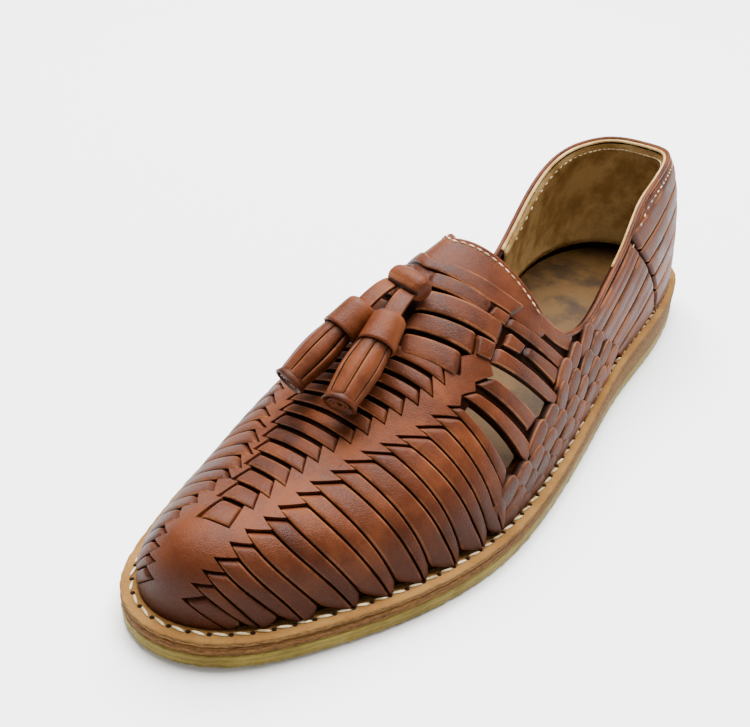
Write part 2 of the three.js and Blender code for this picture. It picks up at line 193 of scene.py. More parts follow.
def weltTop(station):
    return midsoleTop(station) + sole["gap"] + sole["welt"]


outlinePoints = edgeAt(np.arange(2200) / 2200 * loopLength)
outlineMiddle = (outlinePoints.min(0) + outlinePoints.max(0)) / 2


def place(x, station, height):
    return np.stack(np.broadcast_arrays(x - outlineMiddle[0], outlineMiddle[1] - station, height), -1)


def ridgeAt(u):
    rib = ribOf(u)
    return np.stack([bSpline(ridgeX, rib, "mirror"), bSpline(ridgeStation, rib, "mirror")], -1)


def lastPoint(u, share):
    # half rib as a cubic Bezier: across = -3(1-s)^2 s swell + 3(1-s)s^2(1-full) + s^3,
    # up = 3(1-s)^2 s full + 3(1-s)s^2 + s^3
    u, share = np.broadcast_arrays(np.asarray(u, float), np.asarray(share, float))
    foot = soleEdge(u, featherAt(u))
    top = ridgeAt(u)
    turn = np.mod(u, loopLength)
    full = bSpline(loops["full"], turn, "loop")
    swell = bSpline(loops["swell"], turn, "loop")
    left = 1 - share
    across = -3 * left**2 * share * swell + 3 * left * share**2 * (1 - full) + share**3
    up = 3 * left**2 * share * full + 3 * left * share**2 + share**3
    plan = mix(foot, top, across[..., None])
    base = weltTop(foot[..., 1]) + upper["gap"]
    return place(plan[..., 0], plan[..., 1], base + (crownHeight(plan[..., 1]) - base) * up)


def lastNormal(u, share):
    # square to the two directions of the surface, up the rib and round the loop
    step = 0.008
    share = np.minimum(share, 1 - step)
    roundLoopWay = lastPoint(u + step, share) - lastPoint(u - step, share)
    upWay = lastPoint(u, share + step) - lastPoint(u, share - step)
    normal = np.cross(upWay, roundLoopWay)
    # by the ridge of the toe the ribs crowd together, and the normal is kept upwards
    return unit(np.where((share > 0.85)[..., None] & (normal[..., 2:] < 0), -normal, normal))


def offLast(u, share, height):
    # the point a height above the last, along its normal
    return lastPoint(u, share) + lastNormal(u, share) * np.asarray(height, float)[..., None]


def collarHeight(u):
    # the collar's height, mirrored over the back of the heel on each side
    u = np.mod(u, loopLength)
    rib = ribOf(u)
    at = np.abs(rib) / collarStep + len(collarLat) - 1
    outer = bSpline(collarLat[:0:-1] + collarLat, at, "clamp")
    inner = bSpline(collarMed[:0:-1] + collarMed, at, "clamp")
    return np.where(u <= toeRib, outer, inner)


def collarShare(u):
    # share of the half rib where it reaches the collar's height, by halving
    u = np.asarray(u, float)
    height = collarHeight(u)
    low = np.zeros_like(u)
    high = np.ones_like(u)
    for _ in range(24):
        middle = (low + high) / 2
        below = lastPoint(u, middle)[..., 2] < height
        low = np.where(below, middle, low)
        high = np.where(below, high, middle)
    return low


def fromCross(rib, cross):
    # cross runs from -1 at the inner foot over the ridge at 0 to 1 at the outer foot
    return np.where(cross >= 0, rib, loopLength - rib), 1 - np.abs(cross)


crownU, crownShare = np.meshgrid(np.linspace(5, 17, 241), np.linspace(0.3, 1, 71), indexing="ij")
crownPlan = lastPoint(crownU, crownShare)[..., :2].reshape(-1, 2)
crownU, crownShare = crownU.ravel(), crownShare.ravel()


def onCrown(plan):
    # the place on the last under a plan point: nearest sample, then Newton steps
    shape = plan.shape[:-1]
    target = plan.reshape(-1, 2)
    parts = np.array_split(target, len(target) // 400 + 1)
    nearest = np.concatenate([np.argmin(((part[:, None] - crownPlan[None]) ** 2).sum(-1), 1) for part in parts])
    u, share = crownU[nearest].copy(), crownShare[nearest].copy()
    step = 0.002
    best = np.stack([u, share])
    least = np.full(len(u), np.inf)
    for _ in range(9):
        miss = target - lastPoint(u, share)[:, :2]
        far = np.linalg.norm(miss, axis=1)
        best = np.where(far < least, np.stack([u, share]), best)
        least = np.minimum(far, least)
        wayU = (lastPoint(u + step, share) - lastPoint(u - step, share))[:, :2] / (2 * step)
        wayS = (lastPoint(u, share) - lastPoint(u, share - step))[:, :2] / step
        uu, us, ss = (wayU**2).sum(1) + 1, (wayU * wayS).sum(1), (wayS**2).sum(1) + 1
        byU, byS = (wayU * miss).sum(1), (wayS * miss).sum(1)
        u = u + np.clip((ss * byU - us * byS) / (uu * ss - us**2), -0.3, 0.3)
        share = np.clip(share + np.clip((uu * byS - us * byU) / (uu * ss - us**2), -0.1, 0.1), 0.05, 1.2)
        over = share > 1  # past the ridge: the same rib on the other side
        u = np.where(over, loopLength - u, u)
        share = np.where(over, 2 - share, share)
    return best[0].reshape(shape), best[1].reshape(shape)


def insideEdge(edge, x, y):
    # even-odd rule: count the sides of the outline to the right of each point
    x, y = np.asarray(x, float), np.asarray(y, float)
    odd = np.zeros(x.shape, bool)
    for (x0, y0), (x1, y1) in zip(edge, edge[1:] + edge[:1]):
        if y0 != y1:
            odd ^= ((y0 > y) != (y1 > y)) & (x < x0 + (y - y0) / (y1 - y0) * (x1 - x0))
    return odd


class Skin:
    # grids and loose faces gathered into one mesh, with named values on its points
    def __init__(self):
        self.points, self.faces, self.values, self.count = [], [], {}, 0

    def add(self, points, faces, **values):
        points = np.asarray(points, float).reshape(-1, 3)
        self.points.append(points)
        self.faces += [tuple(int(i) + self.count for i in face) for face in faces]
        for name in ("across", "tone", "tuck"):
            value = np.asarray(values.get(name, 0.0), float).ravel()
            self.values.setdefault(name, []).append(np.broadcast_to(value, (len(points),)))
        self.count += len(points)


def gridFaces(rows, columns, closeRows=False, closeColumns=False):
    # quads of a grid of points numbered row by row
    i = np.arange(rows if closeRows else rows - 1)[:, None]
    j = np.arange(columns if closeColumns else columns - 1)[None]
    a = i * columns + j
    b = ((i + 1) % rows) * columns + j
    c = ((i + 1) % rows) * columns + (j + 1) % columns
    d = i * columns + (j + 1) % columns
    return np.stack([a, b, c, d], -1).reshape(-1, 4)


def tubeFaces(rows, columns):
    # a closed tube of rings, with a flat cap at each end
    faces = [tuple(face) for face in gridFaces(rows, columns, closeColumns=True)]
    faces.append(tuple(range(columns)))
    faces.append(tuple(range((rows - 1) * columns, rows * columns))[::-1])
    return faces


def addMesh(name, skin, material, nodes=(), merge=0.0):
    # doubles closer than merge, in mm, become one point, and open edges stay sharp
    mesh = bpy.data.meshes.new(name)
    mesh.from_pydata((np.concatenate(skin.points) * mm).tolist(), [], skin.faces)
    for key, parts in skin.values.items():
        attribute = mesh.attributes.new(key, "FLOAT", "POINT")
        attribute.data.foreach_set("value", np.concatenate(parts).astype(np.float32))
    piece = bpy.data.objects.new(name, mesh)
    bpy.context.scene.collection.objects.link(piece)
    work = bmesh.new()
    work.from_mesh(mesh)
    if merge:
        bmesh.ops.remove_doubles(work, verts=work.verts, dist=merge * mm)
        bmesh.ops.dissolve_degenerate(work, dist=1e-7, edges=work.edges)
    bmesh.ops.recalc_face_normals(work, faces=work.faces)
    for face in work.faces:
        face.smooth = True
    for edge in work.edges:
        if edge.is_boundary:
            edge.smooth = False
    work.to_mesh(mesh)
    work.free()
    mesh.materials.append(material)
    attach(piece, "root")
    if nodes:
        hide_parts(*nodes)
    return piece


def sweep(skin, path, side, normal, profile, tone=0.5, across=None):
    # a closed profile of (sideways, up) rows carried along a path: point = path + side*sideways + normal*up
    profile = np.asarray(profile, float)
    if profile.ndim == 2:
        profile = np.broadcast_to(profile, (len(path),) + profile.shape)
    points = path[:, None] + side[:, None] * profile[..., :1] + normal[:, None] * profile[..., 1:]
    rows, columns = points.shape[:2]
    if across is None:
        across = profile[..., 0] / np.abs(profile[..., 0]).max()
    skin.add(points, tubeFaces(rows, columns), across=across, tone=tone)


strap = {  # leather thickness and crown, the dive into a slit and the flare of a foot, in mm
    "thickness": 1.25, "crown": 0.16, "gap": 0.30, "sink": 0.9, "alongSteps": 28, "acrossSteps": 13,
    "slitGap": 0.35, "rise": 3.2, "cornerRadius": 2.6, "flare": 2.0, "flareReach": 11, "grooveWidth": 0.07,
    "lift": 0.15, "drawnIn": 0.045,
}


def lineBetween(points, t):
    # a line through (loop place, share) points: straight, by Lagrange's formula for three, else Catmull-Rom
    points = np.asarray(points, float)
    t = np.asarray(t, float)[..., None]
    n = len(points)
    if n == 2:
        return mix(points[0], points[1], t)
    if n == 3:
        a, b, c = points
        return a * (1 - t) * (1 - 2 * t) + 4 * b * t * (1 - t) + c * t * (2 * t - 1)
    first = np.clip(np.floor(t[..., 0] * (n - 1)).astype(int), 0, n - 2)
    f = t * (n - 1) - first[..., None]
    padded = np.concatenate([2 * points[:1] - points[1:2], points, 2 * points[-1:] - points[-2:-1]])
    p0, p1, p2, p3 = (padded[first + k] for k in range(4))
    squared = 2 * p0 - 5 * p1 + 4 * p2 - p3
    cubed = 3 * p1 - p0 - 3 * p2 + p3
    return 0.5 * (2 * p1 + (p2 - p0) * f + squared * f**2 + cubed * f**3)


def strapPatch(skin, sideA, sideB, ends=("slit", "foot"), lift=0.0, thickness=None, rounding=(0, 0, 0, 0),
               chart=None, steps=None, flare=(0, 0), groove=0.0, slope=0.0):
    # a strap between two side lines: height = thickness*(1-0.5|c|^12) + crown*(1-c^2), c from -1 to 1 across
    thickness = strap["thickness"] if thickness is None else thickness
    n = steps or strap["alongSteps"]
    s = np.linspace(-1, 1, strap["acrossSteps"])
    c = np.sin(s * math.pi / 2) * 0.85 + s * 0.15
    c = c / np.abs(c).max()
    v = np.linspace(0, 1, n)
    v = mix(v, (1 - np.cos(v * math.pi)) / 2, 0.6)  # closer steps near the ends
    a = lineBetween(sideA, v)
    b = lineBetween(sideB, v)
    toSurface = chart or (lambda uv: (uv[..., 0], uv[..., 1]))
    pointA, pointB = lastPoint(*toSurface(a)), lastPoint(*toSurface(b))
    middleLine = (pointA + pointB) / 2
    width = np.linalg.norm(pointA - pointB, axis=-1)
    travel = travelAlong(middleLine)
    toEnd = travel[-1] - travel
    inset = 2 * strap["gap"] / np.maximum(width, 1)

    def cornerWidth(distance, radius):
        if radius <= 0:
            return np.ones_like(distance)
        inside = np.clip(1 - distance / radius, 0, 1)
        return 1 - (1 - np.sqrt(np.clip(1 - inside**2, 0, 1))) * np.minimum(2 * radius / width, 1)

    widthA = (1 - inset) * cornerWidth(travel, rounding[0]) * cornerWidth(toEnd, rounding[2])
    widthB = (1 - inset) * cornerWidth(travel, rounding[1]) * cornerWidth(toEnd, rounding[3])
    cross = np.where(c[None] < 0, c[None] * widthA[:, None], c[None] * widthB[:, None])
    height = thickness * (1 - 0.5 * np.abs(c) ** 12) + strap["crown"] * (1 - c**2)
    height = height - groove * np.exp(-((c / strap["grooveWidth"]) ** 2))
    height = np.broadcast_to(height, (n, len(c))).copy()
    flareShape = mix(flare[0], flare[1], (c + 1) / 2)
    # painted shade: the tuck mask darkens a strap where its end dives into a slit, at its feet, and down its
    # sunk side walls
    tuck = np.zeros(n)
    for kind, distance in ((ends[0], travel), (ends[1], toEnd)):
        if kind == "slit":
            height -= (thickness + 0.1) * (1 - smoothStep(0, strap["rise"], distance))[:, None] ** 3
            tuck = np.maximum(tuck, 1 - smoothStep(0, 1.5, distance))
        elif kind == "foot":
            height *= np.sqrt(np.clip(smoothStep(-0.3, 0.9, distance), 0, 1))[:, None]
            height += (1 - smoothStep(0, strap["flareReach"], distance))[:, None] * flareShape[None]
            tuck = np.maximum(tuck, 0.7 * (1 - smoothStep(0, 1.4, distance)))
        elif kind == "cut":
            height *= np.sqrt(np.clip(smoothStep(-0.15, 0.7, distance), 0, 1))[:, None]
            tuck = np.maximum(tuck, 0.6 * (1 - smoothStep(0, 1.2, distance)))
    height += slope * (toEnd / travel[-1])[:, None]
    share = (cross + 1) / 2
    uv = a[:, None] * (1 - share[..., None]) + b[:, None] * share[..., None]
    u, surfaceShare = toSurface(uv)
    top = offLast(u, surfaceShare, height + lift)
    normal = lastNormal(u[:, [0, -1]], surfaceShare[:, [0, -1]])
    sides = top[:, [0, -1]] - normal * (height[:, [0, -1]] + strap["sink"])[..., None]
    points = np.concatenate([sides[:, :1], top, sides[:, 1:]], 1)
    columns = points.shape[1]
    acrossValue = np.broadcast_to(np.concatenate([[-1], c, [1]]), (n, columns))
    tuckShadeValue = np.broadcast_to(tuck[:, None], (n, columns)).copy()
    tuckShadeValue[:, [0, -1]] = 1
    skin.add(points, tubeFaces(n, columns), across=acrossValue, tuck=tuckShadeValue, tone=rng.random())


def alongLine(points, distance):
    # the share t of a side line at a distance in mm from its start
    t = np.linspace(0, 1, 200)
    uv = lineBetween(points, t)
    return float(np.interp(distance, travelAlong(lastPoint(uv[:, 0], uv[:, 1])), t))


def shortened(points, start, stop=0.0):
    # the same side line, cut off by a distance in mm at its ends
    t0 = alongLine(points, start)
    t1 = 1 - alongLine(points[::-1], stop) if stop else 1.0
    return [tuple(lineBetween(points, t)) for t in (t0, (t0 + t1) / 2, t1)]


def turned(points, inner):
    # points of the outer side carried over to the inner side where inner is true
    return [(loopLength - u, share) if inner else (u, share) for u, share in points]


# side lines of the comb, toe to heel: rib and share of the slit's inner end, then of the foot
outerComb = [
    (10.67, 0.18, 10.05, -0.015), (10.56, 0.31, 9.87, -0.015), (10.45, 0.42, 9.68, -0.015),
    (10.33, 0.52, 9.48, -0.015), (10.17, 0.64, 9.25, -0.015), (9.98, 0.73, 9.07, -0.015),
    (9.70, 0.80, 8.75, -0.015), (9.45, 0.85, 8.64, -0.015), (9.10, 0.89, 8.36, -0.015),
    (8.82, 0.91, 8.26, -0.015), (8.48, 0.89, 7.97, -0.015), (8.25, 0.88, 7.87, -0.015),
    (8.02, 0.85, 7.58, -0.015), (7.80, 0.80, 7.48, -0.015), (7.62, 0.76, 7.20, -0.015),
    (7.40, 0.71, 7.08, -0.015), (7.20, 0.68, 6.90, 0.0), (7.00, 0.64, 6.76, 0.10),
]
innerComb = [
    (10.82, 0.23, 10.1, -0.015), (10.73, 0.35, 9.92, -0.015), (10.62, 0.45, 9.75, -0.015),
    (10.48, 0.54, 9.55, -0.015), (10.23, 0.63, 9.37, -0.015), (9.85, 0.70, 9.10, -0.015),
    (9.48, 0.72, 8.92, -0.015), (9.13, 0.74, 8.70, -0.015), (8.87, 0.73, 8.52, -0.015),
    (8.57, 0.72, 8.33, -0.015), (8.33, 0.69, 8.18, -0.015), (8.08, 0.66, 8.00, -0.015),
    (7.90, 0.63, 7.87, -0.015), (7.70, 0.60, 7.66, -0.015), (7.48, 0.58, 7.50, -0.015),
    (7.27, 0.54, 7.28, -0.015), (7.07, 0.51, 7.13, -0.015), (6.85, 0.49, 6.90, 0.0),
]
tooth = {"length": 4.6}


def combLines(rows, inner):
    # one line for each row, and every second foot is drawn in
    return [turned([(top, topShare), (foot, footShare + strap["drawnIn"] * (k % 2))], inner)
            for k, (top, topShare, foot, footShare) in enumerate(rows)]


def addComb(skin, lines):
    # strap k lies between lines k and k+1, and starts at a slit a tooth long
    for k in range(len(lines) - 1):
        toeSide = shortened(lines[k], strap["slitGap"])
        heelSide = shortened(lines[k + 1], tooth["length"] + strap["slitGap"])
        # the feet stand in pairs: out over the welt at each even line, drawn in at each odd one
        paired = (0, 0, strap["cornerRadius"], 0.5) if k % 2 else (0, 0, 0.5, strap["cornerRadius"])
        out = min(1.0, k / 4)
        flare = (0.2, strap["flare"] * out) if k % 2 else (strap["flare"] * out, 0.2)
        strapPatch(skin, toeSide, heelSide, rounding=paired, flare=flare)


# straps of the outer side behind the comb: toe side top, heel side top, heel side foot, toe side foot
outerStraps = [
    ((6.99, 0.63), (6.87, 0.585), (6.65, 0.22), (6.77, 0.14)),
    ((6.79, 0.61), (6.61, 0.56), (6.12, 0.19), (6.29, 0.14)),
    ((6.56, 0.58), (6.29, 0.52), (5.90, 0.25), (6.13, 0.25)),
    ((6.21, 0.56), (6.00, 0.57), (5.42, 0.22), (5.58, 0.22)),
    ((5.72, 0.46), (5.60, 0.47), (5.28, 0.30), (5.44, 0.27)),
    ((5.74, 0.59), (5.58, 0.59), (5.08, 0.28), (5.22, 0.26)),
]
outerKeepers = [  # short cross pieces that hold the strap ends down
    ((5.95, 0.55), (5.75, 0.56), (5.66, 0.48), (5.81, 0.48)),
    ((5.84, 0.665), (5.67, 0.66), (5.59, 0.59), (5.77, 0.59)),
    ((6.34, 0.63), (6.13, 0.66), (6.01, 0.58), (6.23, 0.565)),
]
innerStraps = [
    ((6.85, 0.49), (6.63, 0.48), (6.42, 0.13), (6.66, 0.12)),
    ((6.40, 0.47), (6.12, 0.47), (5.80, 0.14), (6.08, 0.13)),
    ((5.88, 0.47), (5.66, 0.46), (5.36, 0.16), (5.56, 0.14)),
    ((5.60, 0.45), (5.42, 0.44), (5.08, 0.20), (5.24, 0.18)),
]


def addSideStraps(skin, rows, inner, ends, lift=0.0):
    for toeTop, heelTop, heelFoot, toeFoot in rows:
        toeSide, heelSide = turned([toeTop, toeFoot], inner), turned([heelTop, heelFoot], inner)
        strapPatch(skin, toeSide, heelSide, ends=ends, lift=lift, rounding=(0.8, 0.8, 0.8, 0.8))


# cross straps of the vamp, toe to throat: x and station of the front edge's inner end and outer end
crossLines = [
    (-9.6, 274.2, 0.2, 272.4), (-11.2, 264.8, 0.9, 263.8), (-13.5, 256.3, 1.4, 257.8),
    (-15.4, 248.8, 1.9, 251.8), (-17.6, 242.3, 2.7, 245.3), (-18.9, 236.8, 3.9, 239.8),
    (-20.2, 231.3, 5.4, 234.8), (-20.9, 226.6, 8.0, 230.3), (-21.3, 222.6, 10.5, 225.8),
    (-21.6, 219.0, 12.6, 220.8), (-21.9, 215.6, 15.1, 216.3), (-22.1, 212.2, 17.3, 211.3),
    (-22.2, 209.0, 19.3, 206.8), (-22.2, 205.8, 20.0, 201.8), (-22.2, 202.8, 20.6, 196.8),
]
cross = {"gap": 0.1, "backGap": 0.75, "leftCut": 3.4, "rightStep": 4.3}


def addCrossStraps(skin):
    # each strap lies between two neighbouring lines; the left end dives into a skew slit, the right end steps
    def chart(uv):
        return onCrown(np.stack([uv[..., 0] - outlineMiddle[0], outlineMiddle[1] - uv[..., 1]], -1))

    for k in range(len(crossLines) - 1):
        x0, s0, x1, s1 = crossLines[k]
        front = np.array([(x0, s0), (x1, s1)], float)
        back = np.array(crossEnds(k))
        inset = unit(back.mean(0) - front.mean(0))
        front, back = front + inset * cross["gap"], back - inset * cross["backGap"]
        strapPatch(skin, front, back, ends=("slit", "cut"), chart=chart, rounding=(0, 0, 0.5, 0.5),
                   lift=strap["lift"])


# the slit sheet: toe cap and the toothed bands along both ridges
sheet = {
    "height": 1.15, "thickness": 1.1, "ribStep": 0.055, "crossStep": 0.045, "edgeStep": 0.9, "planStep": 1.2,
    "toeSteps": 60, "tucked": 1.012, "scale": (35.0, 60.0), "clear": 0.7, "tone": 0.95,
}
outerBandEnd = [
    (6.87, 0.415), (6.78, 0.395), (6.61, 0.44), (6.55, 0.42), (6.29, 0.475), (6.22, 0.43), (6.02, 0.42),
    (6.13, 0.34), (6.33, 0.365), (6.48, 0.32), (6.64, 0.355), (6.70, 0.325),
]
innerBandEnd = [(6.62, -0.52), (6.45, -0.52), (6.44, -0.46), (6.70, -0.46)]


def linePoint(line, distance):
    return tuple(lineBetween(line, alongLine(line, distance)))


def asCross(u, share):
    # loop place and share as rib and cross
    return (u, 1 - share) if u <= toeRib else (loopLength - u, share - 1)


def planToCross(corners):
    # plan corners joined by straight runs with a point every planStep mm, as rib and cross
    corners = np.array(corners, float)
    runs = [corners[-1:]]
    for start, stop in zip(corners[-2::-1], corners[:0:-1]):
        n = max(1, int(np.linalg.norm(stop - start) / sheet["planStep"]))
        runs.insert(0, mix(start, stop, np.arange(n)[:, None] / n))
    plan = np.concatenate(runs)
    u, share = onCrown(np.stack([plan[:, 0] - outlineMiddle[0], outlineMiddle[1] - plan[:, 1]], -1))
    return [asCross(float(a), float(b)) for a, b in zip(u, share)]


def crossEnds(k):
    # ends of cross strap k's back edge: on the next line, short of its ends
    x2, s2, x3, s3 = crossLines[k + 1]
    back = np.array([(x2, s2), (x3, s3)], float)
    length = np.linalg.norm(back[1] - back[0])
    way = (back[1] - back[0]) / length
    short = min(1.0, length / 18)
    return back[0] + way * cross["leftCut"] * short, back[1] - way * cross["rightStep"] * short


def crossOnLast(points):
    points = np.asarray(points, float)
    return fromCross(points[:, 0], points[:, 1])


def denseOutline(corners):
    # the same outline with points every edgeStep mm, the corners kept
    result = []
    for (r0, c0), (r1, c1) in zip(corners, corners[1:] + corners[:1]):
        if np.hypot(r1 - r0, c1 - c0) < 1e-6:
            continue
        ends = lastPoint(*crossOnLast([(r0, c0), (r1, c1)]))
        n = max(1, int(np.linalg.norm(ends[1] - ends[0]) / sheet["edgeStep"]))
        if abs(r0 - toeRib) < 1e-6 and abs(r1 - toeRib) < 1e-6:
            n = sheet["toeSteps"]
        t = np.arange(n) / n
        result += list(zip(mix(r0, r1, t), mix(c0, c1, t)))
    return result


def addSlitSheet(skin, outerLines, innerLines):
    def teeth(lines):
        # toe to heel: slit end, then the tooth's tip on the next line
        corners = []
        for k in range(len(lines) - 1):
            corners.append(asCross(*lines[k][0]))
            corners.append(asCross(*linePoint(lines[k + 1], tooth["length"])))
        corners.append(asCross(*lines[-1][0]))
        return corners

    last = len(crossLines) - 1
    rightSide, leftSide = [], []
    for k in range(last - 1, -1, -1):
        rightSide += [crossLines[k + 1][2:], tuple(crossEnds(k)[1])]
    for k in range(last):
        leftSide += [tuple(crossEnds(k)[0]), crossLines[k + 1][:2]]
    # the front edge of the first cross strap runs over the toe's middle rib and parts the two halves
    front = planToCross([crossLines[0][2:], crossLines[0][:2]])
    outerFront = [point for point in front if point[1] >= 0]
    innerFront = [point for point in front if point[1] < 0]
    middle = (outerFront[-1][1] - innerFront[0][1]) / 2
    rightEdge, leftEdge = planToCross(rightSide), planToCross([crossLines[0][:2]] + leftSide)[1:]
    outerHalf = [(toeRib, sheet["tucked"]), asCross(*outerLines[0][1])] + teeth(outerLines) + outerBandEnd
    outerHalf += rightEdge + outerFront + [(toeRib, middle)]
    innerHalf = [(toeRib, -middle)] + innerFront + leftEdge + innerBandEnd[::-1] + teeth(innerLines)[::-1]
    innerHalf += [asCross(*innerLines[0][1]), (toeRib, -sheet["tucked"])]
    grid = np.meshgrid(np.arange(6.0, 11.0, sheet["ribStep"]), np.arange(-1.0, 1.001, sheet["crossStep"]))
    grid = np.stack([values.ravel() for values in grid], -1)
    for half in (outerHalf, innerHalf):
        # points of the grid that are inside the outline and clear of it fill the half
        border = denseOutline(half)
        inside = grid[insideEdge(border, grid[:, 0], grid[:, 1])]
        far = np.linalg.norm((np.array(border) - inside[:, None]) * sheet["scale"], axis=-1).min(1)
        points = [Vector(point) for point in border + inside[far > sheet["clear"]].tolist()]
        found = delaunay_2d_cdt(points, [], [list(range(len(border)))], 1, 1e-6)
        flat = np.array([(v.x, v.y) for v in found[0]])
        u, share = crossOnLast(flat)
        if half is innerHalf:
            u = loopLength - flat[:, 0]
        skin.add(offLast(u, share, np.full(len(flat), sheet["height"])), found[2], tone=sheet["tone"])


# straps that cross the instep to the outer side: front top, rear top, rear foot, front foot
throatRows = [
    ((6.05, 0.95), (5.80, 0.96), (5.65, 0.67), (5.88, 0.66)),
    ((6.41, 0.95), (6.09, 0.94), (5.73, 0.59), (6.00, 0.57)),
    ((6.67, 0.96), (6.43, 0.95), (6.12, 0.66), (6.37, 0.635)),
    ((6.93, 0.94), (6.70, 0.95), (6.44, 0.68), (6.70, 0.65)),
]
innerThroatRows = [
    ((6.02, 0.93), (5.83, 0.93), (5.72, 0.56), (5.90, 0.55)),
    ((6.36, 0.93), (6.10, 0.93), (5.92, 0.50), (6.14, 0.50)),
    ((6.62, 0.93), (6.42, 0.93), (6.24, 0.50), (6.44, 0.50)),
    ((6.84, 0.92), (6.67, 0.92), (6.52, 0.52), (6.70, 0.52)),
]
throatLift = 0.7
wideBand = {
    "lift": 0.75, "thickness": 0.85,
    "rear": [(5.30, 0.44), (5.43, 0.30), (5.57, 0.0), (5.43, -0.34), (5.28, -0.54)],
    "front": [(5.56, 0.42), (5.72, 0.26), (5.77, 0.0), (5.70, -0.32), (5.58, -0.50)],
}
braidOuter = {
    "edge": [(5.12, 0.36), (5.26, 0.28), (5.50, 0.25), (5.72, 0.22), (6.10, 0.23), (6.43, 0.19), (6.78, 0.15),
             (6.92, 0.05), (6.9, -0.01), (4.25, -0.01), (3.98, 0.04), (4.22, 0.12), (4.42, 0.22), (4.66, 0.31),
             (4.90, 0.33)],
}
braidInner = {
    "edge": [(4.95, 0.29), (5.20, 0.19), (5.60, 0.15), (6.00, 0.14), (6.40, 0.13), (6.66, 0.12), (6.88, 0.05),
             (6.9, -0.01), (4.05, -0.01), (4.0, 0.06), (4.05, 0.12), (4.15, 0.17), (4.45, 0.19), (4.70, 0.24)],
}
braid = {"rowStep": 0.070, "pitch": 0.30, "length": 14.0, "width": 7.4, "tilt": -0.34}
outerQuarter = [  # side lines of the long straps, rear to front
    [(3.39, 0.415), (4.02, 0.330), (4.70, 0.292)], [(3.28, 0.315), (3.80, 0.252), (4.45, 0.220)],
    [(3.10, 0.208), (3.62, 0.155), (4.26, 0.120)], [(2.92, 0.112), (3.40, 0.074), (4.02, 0.048)],
    [(2.80, 0.012), (3.30, -0.012), (3.85, -0.018)],
]
innerQuarter = [
    [(2.84, 0.365), (3.5, 0.262), (4.30, 0.165)], [(2.87, 0.272), (3.5, 0.190), (4.14, 0.118)],
    [(2.90, 0.186), (3.5, 0.124), (4.03, 0.070)], [(2.92, 0.100), (3.5, 0.056), (4.00, 0.026)],
    [(2.98, 0.010), (3.5, -0.012), (4.00, -0.018)],
]
# side lines round the heel: rib and share at the outer end, parts of the collar's share between them,
# and share at the inner end
heelBands = [
    (3.37, 0.410, 0.93, 0.94, 0.93, 0.350), (3.27, 0.318, 0.74, 0.75, 0.74, 0.285),
    (3.13, 0.238, 0.56, 0.57, 0.56, 0.217), (2.98, 0.160, 0.385, 0.40, 0.385, 0.152),
    (2.85, 0.086, 0.215, 0.24, 0.215, 0.09), (2.78, 0.010, 0.05, 0.08, 0.05, 0.02),
    (2.75, -0.018, -0.03, -0.03, -0.03, -0.018),
]
heelPlaces = (1.7, 0.0, -1.6)


def addLeaf(skin, u, share, length, width, angle):
    # a short pillow-shaped strap end, laid on the last at an angle to the run of the loop
    step = 0.01
    here = lastPoint(u, share)
    wayU = (lastPoint(u + step, share) - here) / step
    wayS = (lastPoint(u, share + step) - here) / step
    unitU, unitS = np.linalg.norm(wayU), np.linalg.norm(wayS)
    c, s = math.cos(angle), math.sin(angle)

    def corner(a, b):
        return (u + (a * c - b * s) / unitU, share + (a * s + b * c) / unitS)

    half, wide = length / 2, width / 2
    strapPatch(skin, [corner(-half, wide), corner(half, wide)], [corner(-half, -wide), corner(half, -wide)],
               ends=("cut", "slit"), rounding=(wide, wide * 2.0, wide * 2.4, wide * 1.4), steps=16,
               lift=strap["lift"], slope=1.15)


def addBraid(skin, region, inner):
    # rows of leaf-shaped strap ends, every second row shifted by half a pitch
    edge = region["edge"]
    row = 0
    share = 0.012
    while share < 0.36:
        rib = 3.8 + (0.5 * braid["pitch"] if row % 2 else 0.0)
        while rib < 7.0:
            if insideEdge(edge, rib, share):
                u = loopLength - rib if inner else rib
                angle = (-1 if inner else 1) * braid["tilt"] + rng.normal(0, 0.09)
                if inner:
                    angle += math.pi
                at = (u + rng.normal(0, 0.014), share + rng.normal(0, 0.004))
                size = [braid[key] * rng.uniform(0.93, 1.05) for key in ("length", "width")]
                addLeaf(skin, *at, *size, angle)
            rib += braid["pitch"]
        share += braid["rowStep"] * (0.75 if row == 0 else 1)
        row += 1


def addQuarter(skin, lines, inner):
    # long grooved straps from the throat to the heel; the first one follows the collar
    top = [a for a, b in lines[0]]
    shares = collarShare(loopLength - np.array(top) if inner else np.array(top)) - 0.014
    lines = [list(zip(top, shares.tolist()))] + lines[1:]
    for k in range(len(lines) - 1):
        strapPatch(skin, turned(lines[k], inner), turned(lines[k + 1], inner), ends=("slit", "slit"),
                   rounding=(0.4, 0.4, 1.2, 1.2), steps=44, groove=0.28, thickness=1.35)


def addHeelBands(skin):
    lines = []
    for k, row in enumerate(heelBands):
        between = [(at, part * float(collarShare(at % loopLength))) for at, part in zip(heelPlaces, row[2:5])]
        lines.append([row[:2]] + between + [(-2.82 - 0.022 * k, row[5])])
    for k in range(len(lines) - 1):
        strapPatch(skin, lines[k], lines[k + 1], ends=("cut", "cut"), rounding=(0.6, 0.6, 0.6, 0.6), steps=90,
                   lift=strap["lift"])


collarStrap = {"from": 3.3, "below": 0.012, "width": 0.052, "thickness": 0.8}


def addCollarStrap(skin, inner):
    # the strap along the collar, from the throat round the heel
    ribs = np.linspace(collarStrap["from"], 0.0, 9)
    u = (loopLength - ribs) if inner else ribs
    top = collarShare(u) - collarStrap["below"]
    strapPatch(skin, list(zip(u, top)), list(zip(u, top - collarStrap["width"])), ends=("slit", "slit"),
               steps=60, thickness=collarStrap["thickness"])
